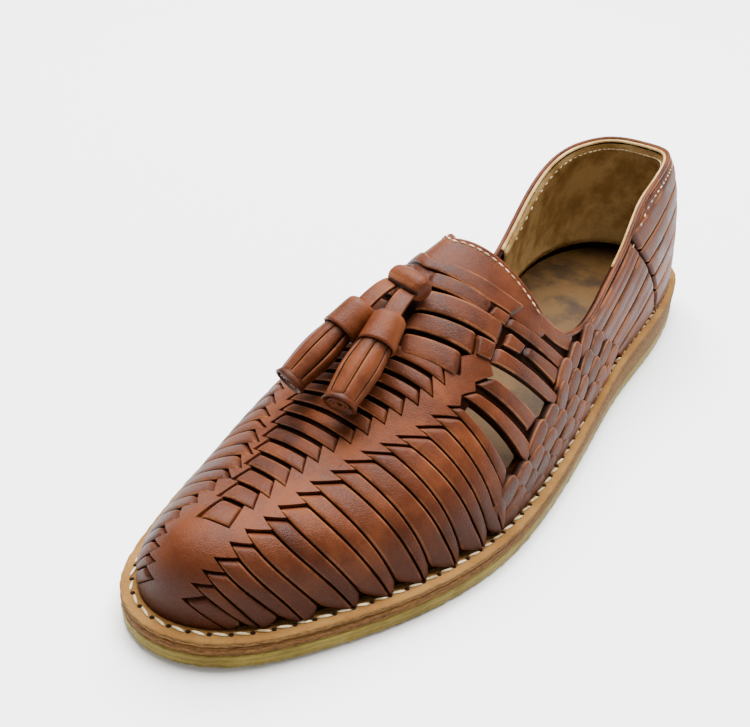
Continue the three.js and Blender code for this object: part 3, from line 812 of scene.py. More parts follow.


# the skin under the straps, coloured near-black as painted shade for the gaps between the straps
skinBase = {"wallColumns": 440, "wallRows": 30, "crownRows": 24, "thickness": 1.9}
windows = [  # corners as rib and share, outer then inner side; the cut edges lie under the straps beside them
    (False, [(6.38, 0.545), (6.10, 0.56), (5.52, 0.25), (5.72, 0.22), (5.97, 0.25)]),
    (False, [(6.89, 0.55), (6.74, 0.55), (6.34, 0.20), (6.50, 0.19), (6.68, 0.22)]),
    (False, [(5.74, 0.46), (5.56, 0.46), (5.30, 0.29), (5.46, 0.27)]),
    (True, [(6.10, 0.44), (5.88, 0.44), (5.56, 0.17), (5.80, 0.16)]),
    (True, [(6.62, 0.44), (6.40, 0.44), (6.10, 0.16), (6.40, 0.15)]),
]


windowScale = np.array([35, 75])  # rough mm for one rib and for the whole share


def inWindow(u, share):
    rib = np.minimum(u, loopLength - u)
    found = [(side == (u > toeRib)) & insideEdge(edge, rib, share) for side, edge in windows]
    return np.any(found, axis=0)


def cutWindows(u, share, faces):
    # leaves out the faces in the windows, and draws the cut's corners onto the windows' outlines
    u, share = u.copy(), share.copy()
    lost = inWindow(u[faces].mean(1), share[faces].mean(1))
    corners = np.intersect1d(faces[~lost], faces[lost])
    for inner in (False, True):
        chosen = corners[(u[corners] > toeRib) == inner]
        outlines = [edge for side, edge in windows if side == inner]
        start = np.array([corner for edge in outlines for corner in edge])
        way = np.array([corner for edge in outlines for corner in edge[1:] + edge[:1]]) - start
        here = np.stack([ribOf(u[chosen]), share[chosen]], -1)[:, None]
        scaled = way * windowScale
        t = np.clip((((here - start) * windowScale) * scaled).sum(-1) / (scaled**2).sum(-1), 0, 1)
        near = start + way * t[..., None]
        closest = np.linalg.norm((here - near) * windowScale, axis=-1).argmin(1)
        near = near[np.arange(len(chosen)), closest]
        u[chosen] = loopLength - near[:, 0] if inner else near[:, 0]
        share[chosen] = near[:, 1]
    return u, share, faces[~lost]


def throatShares():
    lat = float(collarShare(upper["throatRib"]))
    med = float(collarShare(loopLength - upper["throatRib"]))
    return lat, med


def splitShare(u):
    # where the wall rows end: at the collar, then from the throat's corner evenly to one share at the toe
    lat, med = throatShares()
    u = np.mod(u, loopLength)
    rib = ribOf(u)
    beyond = np.clip((rib - upper["throatRib"]) / (toeRib - upper["throatRib"]), 0, 1)
    side = np.where(u <= toeRib, lat, med)
    return np.where(rib <= upper["throatRib"], collarShare(u), mix(side, (lat + med) / 2, beyond))


def buildSkin(material):
    skin = Skin()
    n, m = skinBase["wallColumns"], skinBase["wallRows"]
    u = np.arange(n) / n * loopLength
    top = splitShare(u)
    share = -0.02 + (top[:, None] + 0.02) * np.linspace(0, 1, m)[None]
    faces = gridFaces(n, m, closeRows=True)
    flatU, flatShare, faces = cutWindows((u[:, None] + 0 * share).ravel(), share.ravel(), faces)
    skin.add(lastPoint(flatU, flatShare), faces)
    inside = u[(ribOf(u) >= upper["throatRib"])]
    top = splitShare(inside)
    m = skinBase["crownRows"]
    share = top[:, None] + (1 - top[:, None]) * np.linspace(0, 1, m)[None]
    faces = gridFaces(len(inside), m)
    flatU, flatShare, faces = cutWindows((inside[:, None] + 0 * share).ravel(), share.ravel(), faces)
    skin.add(lastPoint(flatU, flatShare), faces)
    piece = addMesh("upperSkin", skin, material, ("upper",), merge=0.02)
    thick = piece.modifiers.new("thickness", "SOLIDIFY")
    thick.thickness = skinBase["thickness"] * mm
    thick.offset = -1
    return piece


def ladder(inset, heightOf, columns=7, ribs=120):
    # rungs across the sole from the outer to the inner edge, at the same rib
    rib = np.linspace(0, toeRib, ribs)
    outer, inner = soleEdge(rib, inset(rib)), soleEdge(loopLength - rib, inset(rib))
    t = np.linspace(0, 1, columns)[None, :, None]
    plan = mix(outer[:, None], inner[:, None], t)
    return place(plan[..., 0], plan[..., 1], heightOf(plan[..., 1])), gridFaces(ribs, columns)


def wavy(x, seeds, pitch):
    # sum of sines at uneven pitches, about -1 to 1
    total = 0
    for k, seed in enumerate(seeds):
        total = total + math.sin(seed * 7.1) * np.sin(2 * math.pi * x / (pitch * (1 + 0.61 * k)) + seed * 5.3)
    return total / max(len(seeds) ** 0.5, 1)


def addLayer(name, material, node, inset, bottomOf, topOf, rows=8, bulge=0.12, rough=0.12, corner=0.35,
             rings=520):
    # a flat layer of the sole: a side wall round the loop with rounded corners, and a ladder above and below
    skin = Skin()
    half = rings // 2
    u = np.concatenate([np.linspace(0, toeRib, half + 1), loopLength - np.linspace(toeRib, 0, half + 1)[1:-1]])
    v = np.linspace(0, 1, rows)
    rounded = np.concatenate([[0, 0.02, 0.08], v[1:-1] * 0.8 + 0.1, [0.92, 0.98, 1]]) if rows > 3 else v
    edgeInset = inset(ribOf(u))
    arc = travelAlong(edgeAt(u))
    wave = wavy(arc[:, None] + rounded[None] * 3.7, (1.1, 2.3, 3.7, 5.2), 3.1)
    nearCorner = (1 - np.minimum(rounded, 1 - rounded) / 0.14).clip(0, 1)
    cornerIn = corner * (1 - np.sqrt(np.clip(1 - nearCorner**2, 0, 1)))
    belly = bulge * (1 - (2 * rounded[None] - 1) ** 2)
    insets = edgeInset[:, None] + cornerIn[None] - belly + rough * (1 + wave) * 0.5
    insets = np.maximum(insets, 0.0)
    insets[:, [0, -1]] = (edgeInset + corner)[:, None]
    plan = soleEdge(u[:, None] + 0 * insets, insets)
    low, high = bottomOf(plan[..., 1]), topOf(plan[..., 1])
    wall = place(plan[..., 0], plan[..., 1], mix(low, high, rounded[None]))
    skin.add(wall, gridFaces(len(u), len(rounded), closeRows=True))
    for heightOf in (bottomOf, topOf):
        points, faces = ladder(lambda rib: inset(rib) + corner, heightOf, ribs=half + 1)
        skin.add(points, faces)
    addMesh(name, skin, material, (node,), merge=0.004)


def addWedge(material):
    # the heel wedge, between the crepe and the midsole, running out to nothing at the waist
    skin = Skin()
    ribs, columns, rows = 200, 7, 6
    rib = np.linspace(0, 5.72, ribs)
    inset = np.full(ribs, sole["leatherInset"] + 0.1)
    outer, inner = soleEdge(rib, inset), soleEdge(loopLength - rib, inset)
    t = np.linspace(0, 1, columns)[None, :, None]
    plan = mix(outer[:, None], inner[:, None], t)
    low = crepeTop(plan[..., 1]) + 0.1
    high = np.maximum(midsoleBottom(plan[..., 1]) - 0.1, low + 0.05)
    for height in (low, high):
        skin.add(place(plan[..., 0], plan[..., 1], height), gridFaces(ribs, columns))
    v = np.linspace(0, 1, rows)[None]
    for side in (0, columns - 1):
        base = np.stack([plan[:, side, 0], plan[:, side, 1]], -1)
        skin.add(place(base[:, None, 0], base[:, None, 1], mix(low[:, side, None], high[:, side, None], v)),
                 gridFaces(ribs, rows))
    end = plan[-1]
    closing = place(end[:, None, 0], end[:, None, 1], mix(low[-1][:, None], high[-1][:, None], v))
    skin.add(closing, gridFaces(columns, rows))
    addMesh("heelWedge", skin, material, ("heel_wedge",), merge=0.004)


def addWelt(material):
    # a closed ring with an uneven outer edge: a four-sided profile with rounded outer corners
    skin = Skin()
    n = 560
    u = np.arange(n) / n * loopLength
    arc = np.arange(n) * 1.3
    edge = sole["leatherInset"] + 0.12 * wavy(arc, (0.7, 1.9, 4.1), 5.3)
    inside = featherAt(u) + 2.6
    insets = np.stack([inside, edge + 0.35, edge + 0.05, edge, edge + 0.05, edge + 0.4, edge + 1.6, inside], -1)
    insets = np.maximum(insets, 0)
    level = np.array([0, 0, 0.2, 0.5, 0.8, 1.0, 1.0, 1.0])
    plan = soleEdge(u[:, None] + 0 * insets, insets)
    low = midsoleTop(plan[..., 1]) + sole["gap"] * 0.5
    high = weltTop(plan[..., 1])
    ring = place(plan[..., 0], plan[..., 1], mix(low, high, level[None]))
    skin.add(ring, gridFaces(n, len(level), closeRows=True, closeColumns=True))
    addMesh("weltRing", skin, material, ("welt",))


def capsules(skin, centres, ways, ups, length, radius, rings=6, around=8, flat=0.75):
    # short threads: a sphere stretched along its way, sin and cos profile
    centres, ways, ups = (np.asarray(a, float) for a in (centres, ways, ups))
    sides = np.cross(ways, ups)
    a = np.linspace(-1, 1, rings)
    r = np.sqrt(np.clip(1 - np.abs(a) ** 3, 0.02, 1)) * radius
    angle = np.arange(around) / around * 2 * math.pi
    for c, w, up, side in zip(centres, ways, ups, sides):
        middle = (c + w * (a * length / 2)[:, None])[:, None]
        sideways = (r[:, None] * np.cos(angle)[None])[..., None] * side
        upwards = (r[:, None] * np.sin(angle)[None])[..., None] * up * flat
        skin.add(middle + sideways + upwards, tubeFaces(rings, around), tone=rng.random())


stitch = {"inset": 3.4, "pitch": 5.5, "length": 3.9, "radius": 0.42, "slant": 0.22, "hole": 0.74}


def weltSeam(threadMaterial, holeShadeMaterial):
    # threads, and near-black capsules painted as the shade in the needle holes, at an even pitch along the
    # sole's edge, moved inwards by the inset
    u = np.linspace(0, loopLength, 4000)
    plan = soleEdge(u, np.full_like(u, stitch["inset"]))
    travel = travelAlong(plan)
    count = int(travel[-1] / stitch["pitch"])
    along = (np.arange(count) + 0.5) / count * travel[-1]

    def seamPoint(distance):
        return [np.interp(distance % travel[-1], travel, plan[:, k]) for k in (0, 1)]

    x, s = seamPoint(along)
    x2, s2 = seamPoint(along + 0.4)
    way = unit(place(x2, s2, weltTop(s2)) - place(x, s, weltTop(s)))
    up = np.tile([0.0, 0.0, 1.0], (count, 1))
    side = np.cross(way, up)
    slanted = unit(way + side * (stitch["slant"] + rng.normal(0, 0.05, count))[:, None])
    threads = Skin()
    capsules(threads, place(x, s, weltTop(s) + 0.22), slanted, up, stitch["length"], stitch["radius"])
    addMesh("weltStitches", threads, threadMaterial)
    holes = Skin()
    x, s = seamPoint(along + stitch["pitch"] / 2)
    middles = place(x, s, weltTop(s) - 0.12)
    capsules(holes, middles, way, up, stitch["hole"] * 2.2, stitch["hole"], rings=5, flat=0.6)
    addMesh("weltHoles", holes, holeShadeMaterial)


collar = {
    "tube": 0.95, "around": 12, "count": 360, "liningFrom": 3.75, "liningColumns": 200, "liningRows": 26,
    "liningThickness": 0.9, "stitchRadius": 0.3,
}


# stitches inside the lining, then outside: ends as ribs, count, share below the edge, height and length
collarSeams = ((3.5, -3.5, 54, 0.032, -3.35, 2.0), (3.4, -3.2, 52, 0.034, 1.28, 1.9))


def pathWays(path):
    return unit(np.gradient(path, axis=0))


def addTube(skin, path, radius, around=10, up=None, tone=0.5):
    # a round cord along a path: point = path + radius * (side*cos + top*sin)
    way = pathWays(path)
    up = np.tile([0.0, 0.0, 1.0], (len(path), 1)) if up is None else up
    side = unit(np.cross(way, up))
    top = np.cross(side, way)
    angle = np.arange(around) / around * 2 * math.pi
    radius = np.broadcast_to(np.asarray(radius, float), (len(path),))
    profile = np.stack([radius[:, None] * np.cos(angle), radius[:, None] * np.sin(angle)], -1)
    sweep(skin, path, side, top, profile, tone=tone, across=np.broadcast_to(np.cos(angle), (len(path), around)))


def addCollar(brown, cream, thread):
    # the edge runs from the throat's outer corner round the heel to its inner corner
    u = np.linspace(upper["throatRib"], -upper["throatRib"], collar["count"])
    path = offLast(u, collarShare(np.mod(u, loopLength)), np.full_like(u, 0.25))
    edge = Skin()
    addTube(edge, path, collar["tube"] * roundedEnds(len(path), 40, 0.02), around=collar["around"])
    addMesh("collarEdge", edge, brown)
    # the lining stands inside the wall, from the collar's edge down to the insole
    n, m = collar["liningColumns"], collar["liningRows"]
    u = np.linspace(collar["liningFrom"], -collar["liningFrom"], n)
    top = collarShare(np.mod(u, loopLength)) + 0.006
    t = np.linspace(0, 1, m)[None]
    share = 0.02 + (top[:, None] - 0.02) * t
    depth = mix(2.3, 0.55, smoothStep(0.9, 1.0, t))
    depth = depth + 0.12 * wavy(np.arange(n)[:, None] * 1.4 + 6 * t, (0.4, 2.2, 3.9), 23)
    outside = offLast(u[:, None] + 0 * share, share, -depth)
    inside = offLast(u[:, None] + 0 * share, share, -depth - collar["liningThickness"])
    lining = Skin()
    lining.add(np.concatenate([outside, inside[:, ::-1]], 1), tubeFaces(n, 2 * m))
    addMesh("heelLining", lining, cream)
    seam = Skin()
    for start, stop, count, below, height, length in collarSeams:
        u = np.linspace(start, stop, count)
        share = collarShare(np.mod(u, loopLength)) - below
        spots = offLast(u, share, np.full_like(u, height))
        ups = lastNormal(u, share) * np.sign(height)
        capsules(seam, spots, pathWays(spots), ups, length, collar["stitchRadius"], rings=5, around=6)
    addMesh("collarStitches", seam, thread)


plug = {
    "arch": 5.08, "archDrop": 0.34, "crossOuter": 0.56, "crossInner": -0.66, "front": 6.1, "height": 1.0,
    "rim": 1.05, "stitchInset": 0.055, "stitchPitch": 2.7,
}


def plugArch(cross0):
    return plug["arch"] + plug["archDrop"] * np.clip(np.abs(cross0) - 0.12, 0, 1) ** 2


def addPlug(brown, thread):
    # the smooth tongue over the instep: its rear edge is the arch, and it narrows and dives towards the toe
    n, m = 46, 70
    across0 = np.linspace(-1, 1, m)[None]
    t = np.linspace(0, 1, n)[:, None]
    narrow = 1 - 0.5 * smoothStep(0.15, 0.75, t)
    cross0 = np.where(across0 < 0, -plug["crossInner"] * across0, plug["crossOuter"] * across0) * narrow
    rib = mix(plugArch(cross0), plug["front"], t)
    u, share = fromCross(rib, cross0 + 0 * rib)
    height = plug["height"] * np.sqrt(np.clip(1 - (1 - np.clip(t * 22, 0, 1)) ** 2, 0.02, 1)) + 0 * rib
    height = height - 0.8 * smoothStep(0.5, 0.8, t) - 0.35 * smoothStep(0.9, 1.0, np.abs(across0))
    topPoints = offLast(u, share, height)
    lowPoints = offLast(u, share, -0.4 + 0 * height)
    skin = Skin()
    skin.add(np.concatenate([topPoints, lowPoints[:, ::-1]], 1), tubeFaces(n, 2 * m), tone=0.5)
    addMesh("plug", skin, brown)
    rimSkin = Skin()
    cross1 = np.linspace(-0.66, 0.58, 90)
    u, share = fromCross(plugArch(cross1), cross1)
    path = offLast(u, share, np.full_like(cross1, -0.1))
    addTube(rimSkin, path, plug["rim"] * roundedEnds(len(path), 16, 0.03), up=lastNormal(u, share))
    addMesh("plugRim", rimSkin, brown)
    seam = Skin()
    cross2 = np.linspace(-0.55, 0.50, 400)
    u, share = fromCross(plugArch(cross2) + plug["stitchInset"], cross2)
    path = offLast(u, share, np.full_like(cross2, plug["height"] + 0.12))
    travel = travelAlong(path)
    count = int(travel[-1] / plug["stitchPitch"])
    at = (np.arange(count) + 0.5) / count * travel[-1]
    spots = np.stack([np.interp(at, travel, path[:, k]) for k in range(3)], -1)
    ups = np.stack([np.interp(at, travel, lastNormal(u, share)[:, k]) for k in range(3)], -1)
    capsules(seam, spots, pathWays(spots), ups, 1.9, 0.32, rings=5, around=6)
    addMesh("plugStitches", seam, thread)


keeper = {"from": (-10.0, 185.4, 68.4), "to": (3.4, 189.4, 68.6), "radius": 4.1, "arch": 0.5, "rings": 24}
# x, station and height where each thong leaves the keeper, and of the cap's neck and hem and the fringe's end
tassels = {
    "front": ((-1.2, 190.6, 68.2), (-0.3, 201, 64.2), (1.2, 210.7, 58.9), (2.0, 228.5, 48.6)),
    "rear": ((-8.6, 189.4, 68.2), (-10.6, 200, 64), (-12.8, 209.7, 58.4), (-17.0, 227, 47.8)),
}
tassel = {  # widths and radii in mm, against shares of a piece's length
    "thong": (6.0, 1.7), "strips": 7, "flat": 0.86, "around": 36,
    "capReach": [0, 0.0, 0.03, 0.1, 0.25, 0.5, 0.75, 0.92, 1.0, 1.0, 0.9, 0.6],
    "capRadius": [0.01, 3.0, 4.4, 5.1, 5.4, 5.55, 5.75, 5.95, 5.98, 5.3, 5.2, 4.8],
    "fringeRadius": [4.6, 5.7, 6.0, 5.5, 4.7], "fringeThickness": 0.95,
    "coreReach": [0, 0.05, 0.5, 0.86, 0.93, 0.975, 0.99, 0.975, 0.94],
    "coreRadius": [2.0, 4.0, 4.9, 4.5, 5.1, 5.5, 5.0, 4.3, 3.9],
    "coreShade": [1, 1, 1, 0.6, 0, 0, 0, 0.5, 1.0],
}


def addKeeper(brown):
    # a short roll across the instep, a little thinner towards its ends
    knot = Skin()
    rings = keeper["rings"]
    t = np.linspace(0, 1, rings)
    path = mix(place(*keeper["from"]), place(*keeper["to"]), t[:, None])
    path[:, 2] += 4 * t * (1 - t) * keeper["arch"]
    radius = keeper["radius"] * (1 - 0.12 * (2 * t - 1) ** 2) * roundedEnds(rings, 14, 0.55)
    addTube(knot, path, radius, around=24)
    addMesh("keeperKnot", knot, brown, ("keeper",))


def addTassels(brown):
    for key, data in tassels.items():
        hang, neck, hem, end = (place(*point) for point in data)
        way = unit(hem - neck)
        sideWay = unit(np.cross(way, [0, 0, 1.0]))
        upWay = np.cross(sideWay, way)

        def ringAt(angles):
            # a unit ring square to the tassel, pressed a little flat
            return np.cos(angles)[:, None] * sideWay + np.sin(angles)[:, None] * upWay * tassel["flat"]

        # thong: a flat strap out of the rolled keeper and down to the neck
        corners = np.array([
            hang + [0, 2.5, -1.6], hang + [0, 0.5, -0.2], mix(hang, neck, 0.45) + [0, 0, 0.9],
            neck + [0, 0, 0.6], mix(neck, hem, 0.3),
        ])
        t = np.linspace(0, len(corners) - 1, 40)
        path = np.stack([bSpline(corners[:, k], t, "clamp") for k in range(3)], -1)
        side = np.tile(sideWay, (len(path), 1))
        top = unit(np.cross(side, pathWays(path)))
        w, h = tassel["thong"][0] / 2, tassel["thong"][1] / 2
        angle = np.arange(16) / 16 * 2 * math.pi
        profile = np.stack([np.sign(np.cos(angle)) * np.abs(np.cos(angle)) ** 0.5 * w,
                            np.sign(np.sin(angle)) * np.abs(np.sin(angle)) ** 0.6 * h], -1)
        thong = Skin()
        sweep(thong, path, side, top, profile, tone=0.6)
        addMesh("thongStrap_" + key, thong, brown, ("thong_" + key,))
        # cap: a rolled cylinder with rounded shoulders and an open hem, radius against share of its length
        capSkin = Skin()
        reach, radius = np.array(tassel["capReach"]), np.array(tassel["capRadius"])
        around = tassel["around"]
        ring = ringAt(np.arange(around) / around * 2 * math.pi)
        points = mix(neck, hem, reach[:, None])[:, None] + ring[None] * radius[:, None, None]
        capSkin.add(points, tubeFaces(len(reach), around), tone=0.85)
        addMesh("tasselCap_" + key, capSkin, brown, ("tassel_cap_" + key,))
        # fringe: strips cut apart, side by side round the tassel, with a belly
        fringe = Skin()
        count = tassel["strips"]
        for k in range(count):
            middle = (k + 0.5) / count * 2 * math.pi
            halfAngle = math.pi / count * 0.93
            rows = 12
            v = np.linspace(0, 1, rows)
            length = rng.uniform(0.985, 1.0)
            radii = bSpline(tassel["fringeRadius"], v * 4, "clamp") + rng.normal(0, 0.08)
            angles = middle + np.linspace(-1, 1, 5) * halfAngle + rng.normal(0, 0.03)
            axis = mix(mix(neck, hem, 0.85), end, (v * length)[:, None])[:, None]
            outside = radii[:, None] - 0.25 * np.linspace(-1, 1, 5) ** 2
            inside = radii[:, None] - tassel["fringeThickness"] + np.zeros(5)
            outside = axis + ringAt(angles)[None] * outside[..., None]
            inside = axis + ringAt(angles)[None] * inside[..., None]
            block = np.concatenate([outside, inside[:, ::-1]], 1)
            acrossValue = np.concatenate([np.linspace(-1, 1, 5), np.linspace(1, -1, 5)]) + np.zeros((rows, 1))
            # painted shade: the tuck value darkens each strip's top where it comes out from under the cap
            tuckShadeValue = np.clip(1 - v * 4, 0, 1)[:, None] + np.zeros(10)
            fringe.add(block, tubeFaces(rows, 10), across=acrossValue, tone=rng.uniform(0.4, 1), tuck=tuckShadeValue)
        addMesh("tasselFringe_" + key, fringe, brown, ("tassel_fringe_" + key,))
        # end: a rolled rim round a sunk disc, as radius against share of the way to the end
        reach, radius = np.array(tassel["coreReach"]), np.array(tassel["coreRadius"])
        tip = end + (end - hem) * 0.04
        path = mix(mix(neck, hem, 0.8), tip, reach[:, None])
        core = Skin()
        core.add(path[:, None] + ring[None] * radius[:, None, None], tubeFaces(len(reach), around),
                 tuck=np.broadcast_to(np.array(tassel["coreShade"])[:, None], (len(reach), around)))
        turns = ringAt(np.linspace(0, 2.2 * 2 * math.pi, 60))
        coil = mix(neck, tip, 0.975) + turns * np.linspace(3.2, 0.8, 60)[:, None]
        addTube(core, coil, 0.42, around=8, up=np.tile(unit(hem - end), (60, 1)), tone=0.4)
        addMesh("tasselCore_" + key, core, brown)


class Wiring:
    # short ways to add and join shader nodes
    def __init__(self, tree):
        self.tree = tree

    def add(self, kind, inputs=None, **settings):
        node = self.tree.nodes.new(kind)
        for key, value in settings.items():
            setattr(node, key, value)
        for key, value in (inputs or {}).items():
            if isinstance(value, bpy.types.NodeSocket):
                self.tree.links.new(value, node.inputs[key])
            else:
                node.inputs[key].default_value = value
        return node

    def math(self, operation, a, b=0.0, clamp=False):
        return self.add("ShaderNodeMath", {0: a, 1: b}, operation=operation, use_clamp=clamp).outputs[0]

    def range(self, value, low, high, outLow=0.0, outHigh=1.0, smooth=True):
        kind = "SMOOTHSTEP" if smooth else "LINEAR"
        return self.add("ShaderNodeMapRange", {0: value, 1: low, 2: high, 3: outLow, 4: outHigh},
                        interpolation_type=kind).outputs[0]

    def blend(self, a, b, share, kind="MIX"):
        node = self.add("ShaderNodeMix", {0: share, 6: a, 7: b}, data_type="RGBA", blend_type=kind)
        return node.outputs[2]

    def noise(self, vector, scale, detail=3.0, roughness=0.55):
        inputs = {"Vector": vector, "Scale": scale, "Detail": detail, "Roughness": roughness}
        return self.add("ShaderNodeTexNoise", inputs).outputs["Fac"]

    def value(self, name):
        return self.add("ShaderNodeAttribute", attribute_name=name).outputs["Fac"]


def makeGroup(name, inputs, outputs):
    tree = bpy.data.node_groups.new(name, "ShaderNodeTree")
    for key, kind in inputs:
        tree.interface.new_socket(key, in_out="INPUT", socket_type=kind)
    for key, kind in outputs:
        tree.interface.new_socket(key, in_out="OUTPUT", socket_type=kind)
    wires = Wiring(tree)
    return tree, wires, wires.add("NodeGroupInput"), wires.add("NodeGroupOutput")


def linear(r, g, b):
    # colour given in 0-255 steps, turned to linear light
    return tuple(((c / 255 + 0.055) / 1.055) ** 2.4 if c > 10 else c / 255 / 12.92 for c in (r, g, b)) + (1.0,)


def grainGroup():
    # height = fine cells + soft noise; mottle = broad noise; pores = small dark dots
    inputs = [("Vector", "NodeSocketVector"), ("Scale", "NodeSocketFloat")]
    outputs = [(name, "NodeSocketFloat") for name in ("Height", "Mottle", "Pores")]
    tree, w, start, end = makeGroup("leatherGrain", inputs, outputs)
    vector, scale = start.outputs["Vector"], start.outputs["Scale"]
    cells = w.add("ShaderNodeTexVoronoi", {"Vector": vector, "Scale": scale}, feature="DISTANCE_TO_EDGE")
    cells = w.range(cells.outputs["Distance"], 0.0, 0.25)
    soft = w.noise(vector, w.math("MULTIPLY", scale, 0.45), 5.0, 0.6)
    height = w.math("ADD", w.math("MULTIPLY", cells, 0.35), w.math("MULTIPLY", soft, 0.9))
    mottle = w.noise(vector, w.math("MULTIPLY", scale, 0.06), 6.0, 0.62)
    dots = w.noise(vector, w.math("MULTIPLY", scale, 1.1), 2.0, 0.5)
    w.tree.links.new(height, end.inputs["Height"])
    w.tree.links.new(w.range(mottle, 0.3, 0.7), end.inputs["Mottle"])
    w.tree.links.new(w.range(dots, 0.66, 0.78), end.inputs["Pores"])
    return tree


def wearAndShadeGroup():
    # light = a thin worn line beside each edge; dark = painted shade at each edge where the strap rolls down
    # into its gap, and in the tucks, weaker there in patches
    inputs = [(name, "NodeSocketFloat") for name in ("Across", "TuckShade", "Mottle")]
    outputs = [(name, "NodeSocketFloat") for name in ("Light", "EdgeAndTuckShade")]
    tree, w, start, end = makeGroup("strapWearAndShade", inputs, outputs)
    side = w.math("ABSOLUTE", start.outputs["Across"])
    ring = w.math("MULTIPLY", w.range(side, 0.70, 0.88), w.range(side, 0.99, 0.93))
    light = w.math("MULTIPLY", ring, w.range(start.outputs["Mottle"], 0.2, 0.8, 0.25, 1.0))
    rim = w.range(side, 0.93, 1.0)
    tuck = w.math("MULTIPLY", start.outputs["TuckShade"], w.range(start.outputs["Mottle"], 0.0, 1.0, 1.0, 0.6))
    w.tree.links.new(light, end.inputs["Light"])
    w.tree.links.new(w.math("MAXIMUM", rim, tuck, True), end.inputs["EdgeAndTuckShade"])
    return tree


def layerGroup():
    # cut edge of leather: thin level bands, broken up by noise stretched along the edge
    tree, w, start, end = makeGroup("cutLayers", [("Vector", "NodeSocketVector"), ("Pitch", "NodeSocketFloat")],
                                    [("Bands", "NodeSocketFloat"), ("Fibre", "NodeSocketFloat")])
    parts = w.add("ShaderNodeSeparateXYZ", {0: start.outputs["Vector"]})
    rough = w.noise(start.outputs["Vector"], 130.0, 4.0, 0.6)
    level = w.math("DIVIDE", parts.outputs["Z"], start.outputs["Pitch"])
    level = w.math("ADD", level, w.math("MULTIPLY", rough, 1.1))
    bands = w.math("ADD", w.math("MULTIPLY", w.math("SINE", w.math("MULTIPLY", level, 6.2832)), 0.5), 0.5)
    squeezed = w.add("ShaderNodeMapping", {"Vector": start.outputs["Vector"], "Scale": (0.55, 0.55, 3.0)})
    fibre = w.noise(squeezed.outputs[0], 1100.0, 5.0, 0.7)
    w.tree.links.new(bands, end.inputs["Bands"])
    w.tree.links.new(w.range(fibre, 0.32, 0.7), end.inputs["Fibre"])
    return tree


groups = {"grain": grainGroup(), "wear": wearAndShadeGroup(), "layers": layerGroup()}


def newMaterial(name):
    material = bpy.data.materials.new(name)
    material.use_nodes = True
    tree = material.node_tree
    tree.nodes.clear()
    w = Wiring(tree)
    output = w.add("ShaderNodeOutputMaterial")
    shader = w.add("ShaderNodeBsdfPrincipled")
    tree.links.new(shader.outputs[0], output.inputs[0])
    return material, w, shader, w.add("ShaderNodeTexCoord").outputs["Object"]


def useGroup(w, key, inputs):
    node = w.add("ShaderNodeGroup", node_tree=groups[key])
    for name, value in inputs.items():
        if isinstance(value, bpy.types.NodeSocket):
            w.tree.links.new(value, node.inputs[name])
        else:
            node.inputs[name].default_value = value
    return node.outputs


def finishBump(w, shader, height, distance, strength=1.0):
    bump = w.add("ShaderNodeBump", {"Height": height, "Distance": distance, "Strength": strength})
    w.tree.links.new(bump.outputs[0], shader.inputs["Normal"])


# the near-black dark serves the pores and painted shade at strap edges, in tucks and under the straps; the
# colour for the low sides is painted shade
brown = {
    "deep": (40, 17, 8), "mid": (76, 36, 17), "warm": (104, 54, 27), "light": (150, 96, 60), "dark": (8, 3, 1),
    "burnish": (26, 8, 3), "paintedLowShade": (30, 10, 4), "roughLow": 0.36, "roughHigh": 0.54, "specular": 0.09,
    "grain": 1500.0, "bump": 0.00012,
}


def strapLeather(name, darker=0.0, wear=0.55, toeBurnishAndLowShade=True):
    # deep to warm brown by mottle and the piece's own tone, worn light beside the edges, with painted shade
    # darkening the edges and the tucks
    material, w, shader, at = newMaterial(name)
    grain = useGroup(w, "grain", {"Vector": at, "Scale": brown["grain"]})
    edges = {"Across": w.value("across"), "TuckShade": w.value("tuck"), "Mottle": grain["Mottle"]}
    wearAndShadeMarks = useGroup(w, "wear", edges)
    tone = w.value("tone")
    broad = w.range(w.noise(at, 28.0, 3.0, 0.5), 0.35, 0.68)
    share = w.math("ADD", w.math("MULTIPLY", grain["Mottle"], 0.45), w.math("MULTIPLY", tone, 0.35))
    share = w.math("ADD", share, w.math("MULTIPLY", broad, 0.3), True)
    color = w.blend(linear(*brown["deep"]), linear(*brown["mid"]), w.range(share, 0.0, 0.6))
    color = w.blend(color, linear(*brown["warm"]), w.range(share, 0.5, 1.1))
    color = w.blend(color, linear(*brown["light"]), w.math("MULTIPLY", wearAndShadeMarks["Light"], wear))
    # painted shade: near-black at the strap edges, in the tucks and on the sunk side walls
    color = w.blend(color, linear(*brown["dark"]), w.math("MULTIPLY", wearAndShadeMarks["EdgeAndTuckShade"], 0.85))
    color = w.blend(color, linear(*brown["dark"]), w.math("MULTIPLY", grain["Pores"], 0.35))
    if toeBurnishAndLowShade:
        # darker burnish patches towards the toe, and painted shade low on the sides of the forepart, darker the
        # nearer the floor
        parts = w.add("ShaderNodeSeparateXYZ", {0: at})
        toe = w.range(parts.outputs["Y"], -0.085, -0.140)
        patch = w.math("MULTIPLY", toe, w.range(w.noise(at, 45.0, 4.0, 0.6), 0.35, 0.7))
        low = w.range(parts.outputs["Z"], 0.040, 0.014)
        low = w.math("MULTIPLY", low, w.range(parts.outputs["Y"], 0.03, -0.03))
        color = w.blend(color, linear(*brown["paintedLowShade"]), w.math("MULTIPLY", low, 0.58))
        color = w.blend(color, linear(*brown["burnish"]), w.math("MULTIPLY", patch, 0.32))
    # darker pulls the colour towards near-black and dulls the shine; the skin under the straps uses it as
    # painted shade in the gaps
    if darker:
        color = w.blend(color, linear(*brown["dark"]), darker)
    w.tree.links.new(color, shader.inputs["Base Color"])
    w.tree.links.new(w.range(grain["Mottle"], 0.0, 1.0, brown["roughLow"], brown["roughHigh"], False),
                     shader.inputs["Roughness"])
    shader.inputs["Specular IOR Level"].default_value = brown["specular"] * (1 - darker)
    finishBump(w, shader, grain["Height"], brown["bump"])
    return material


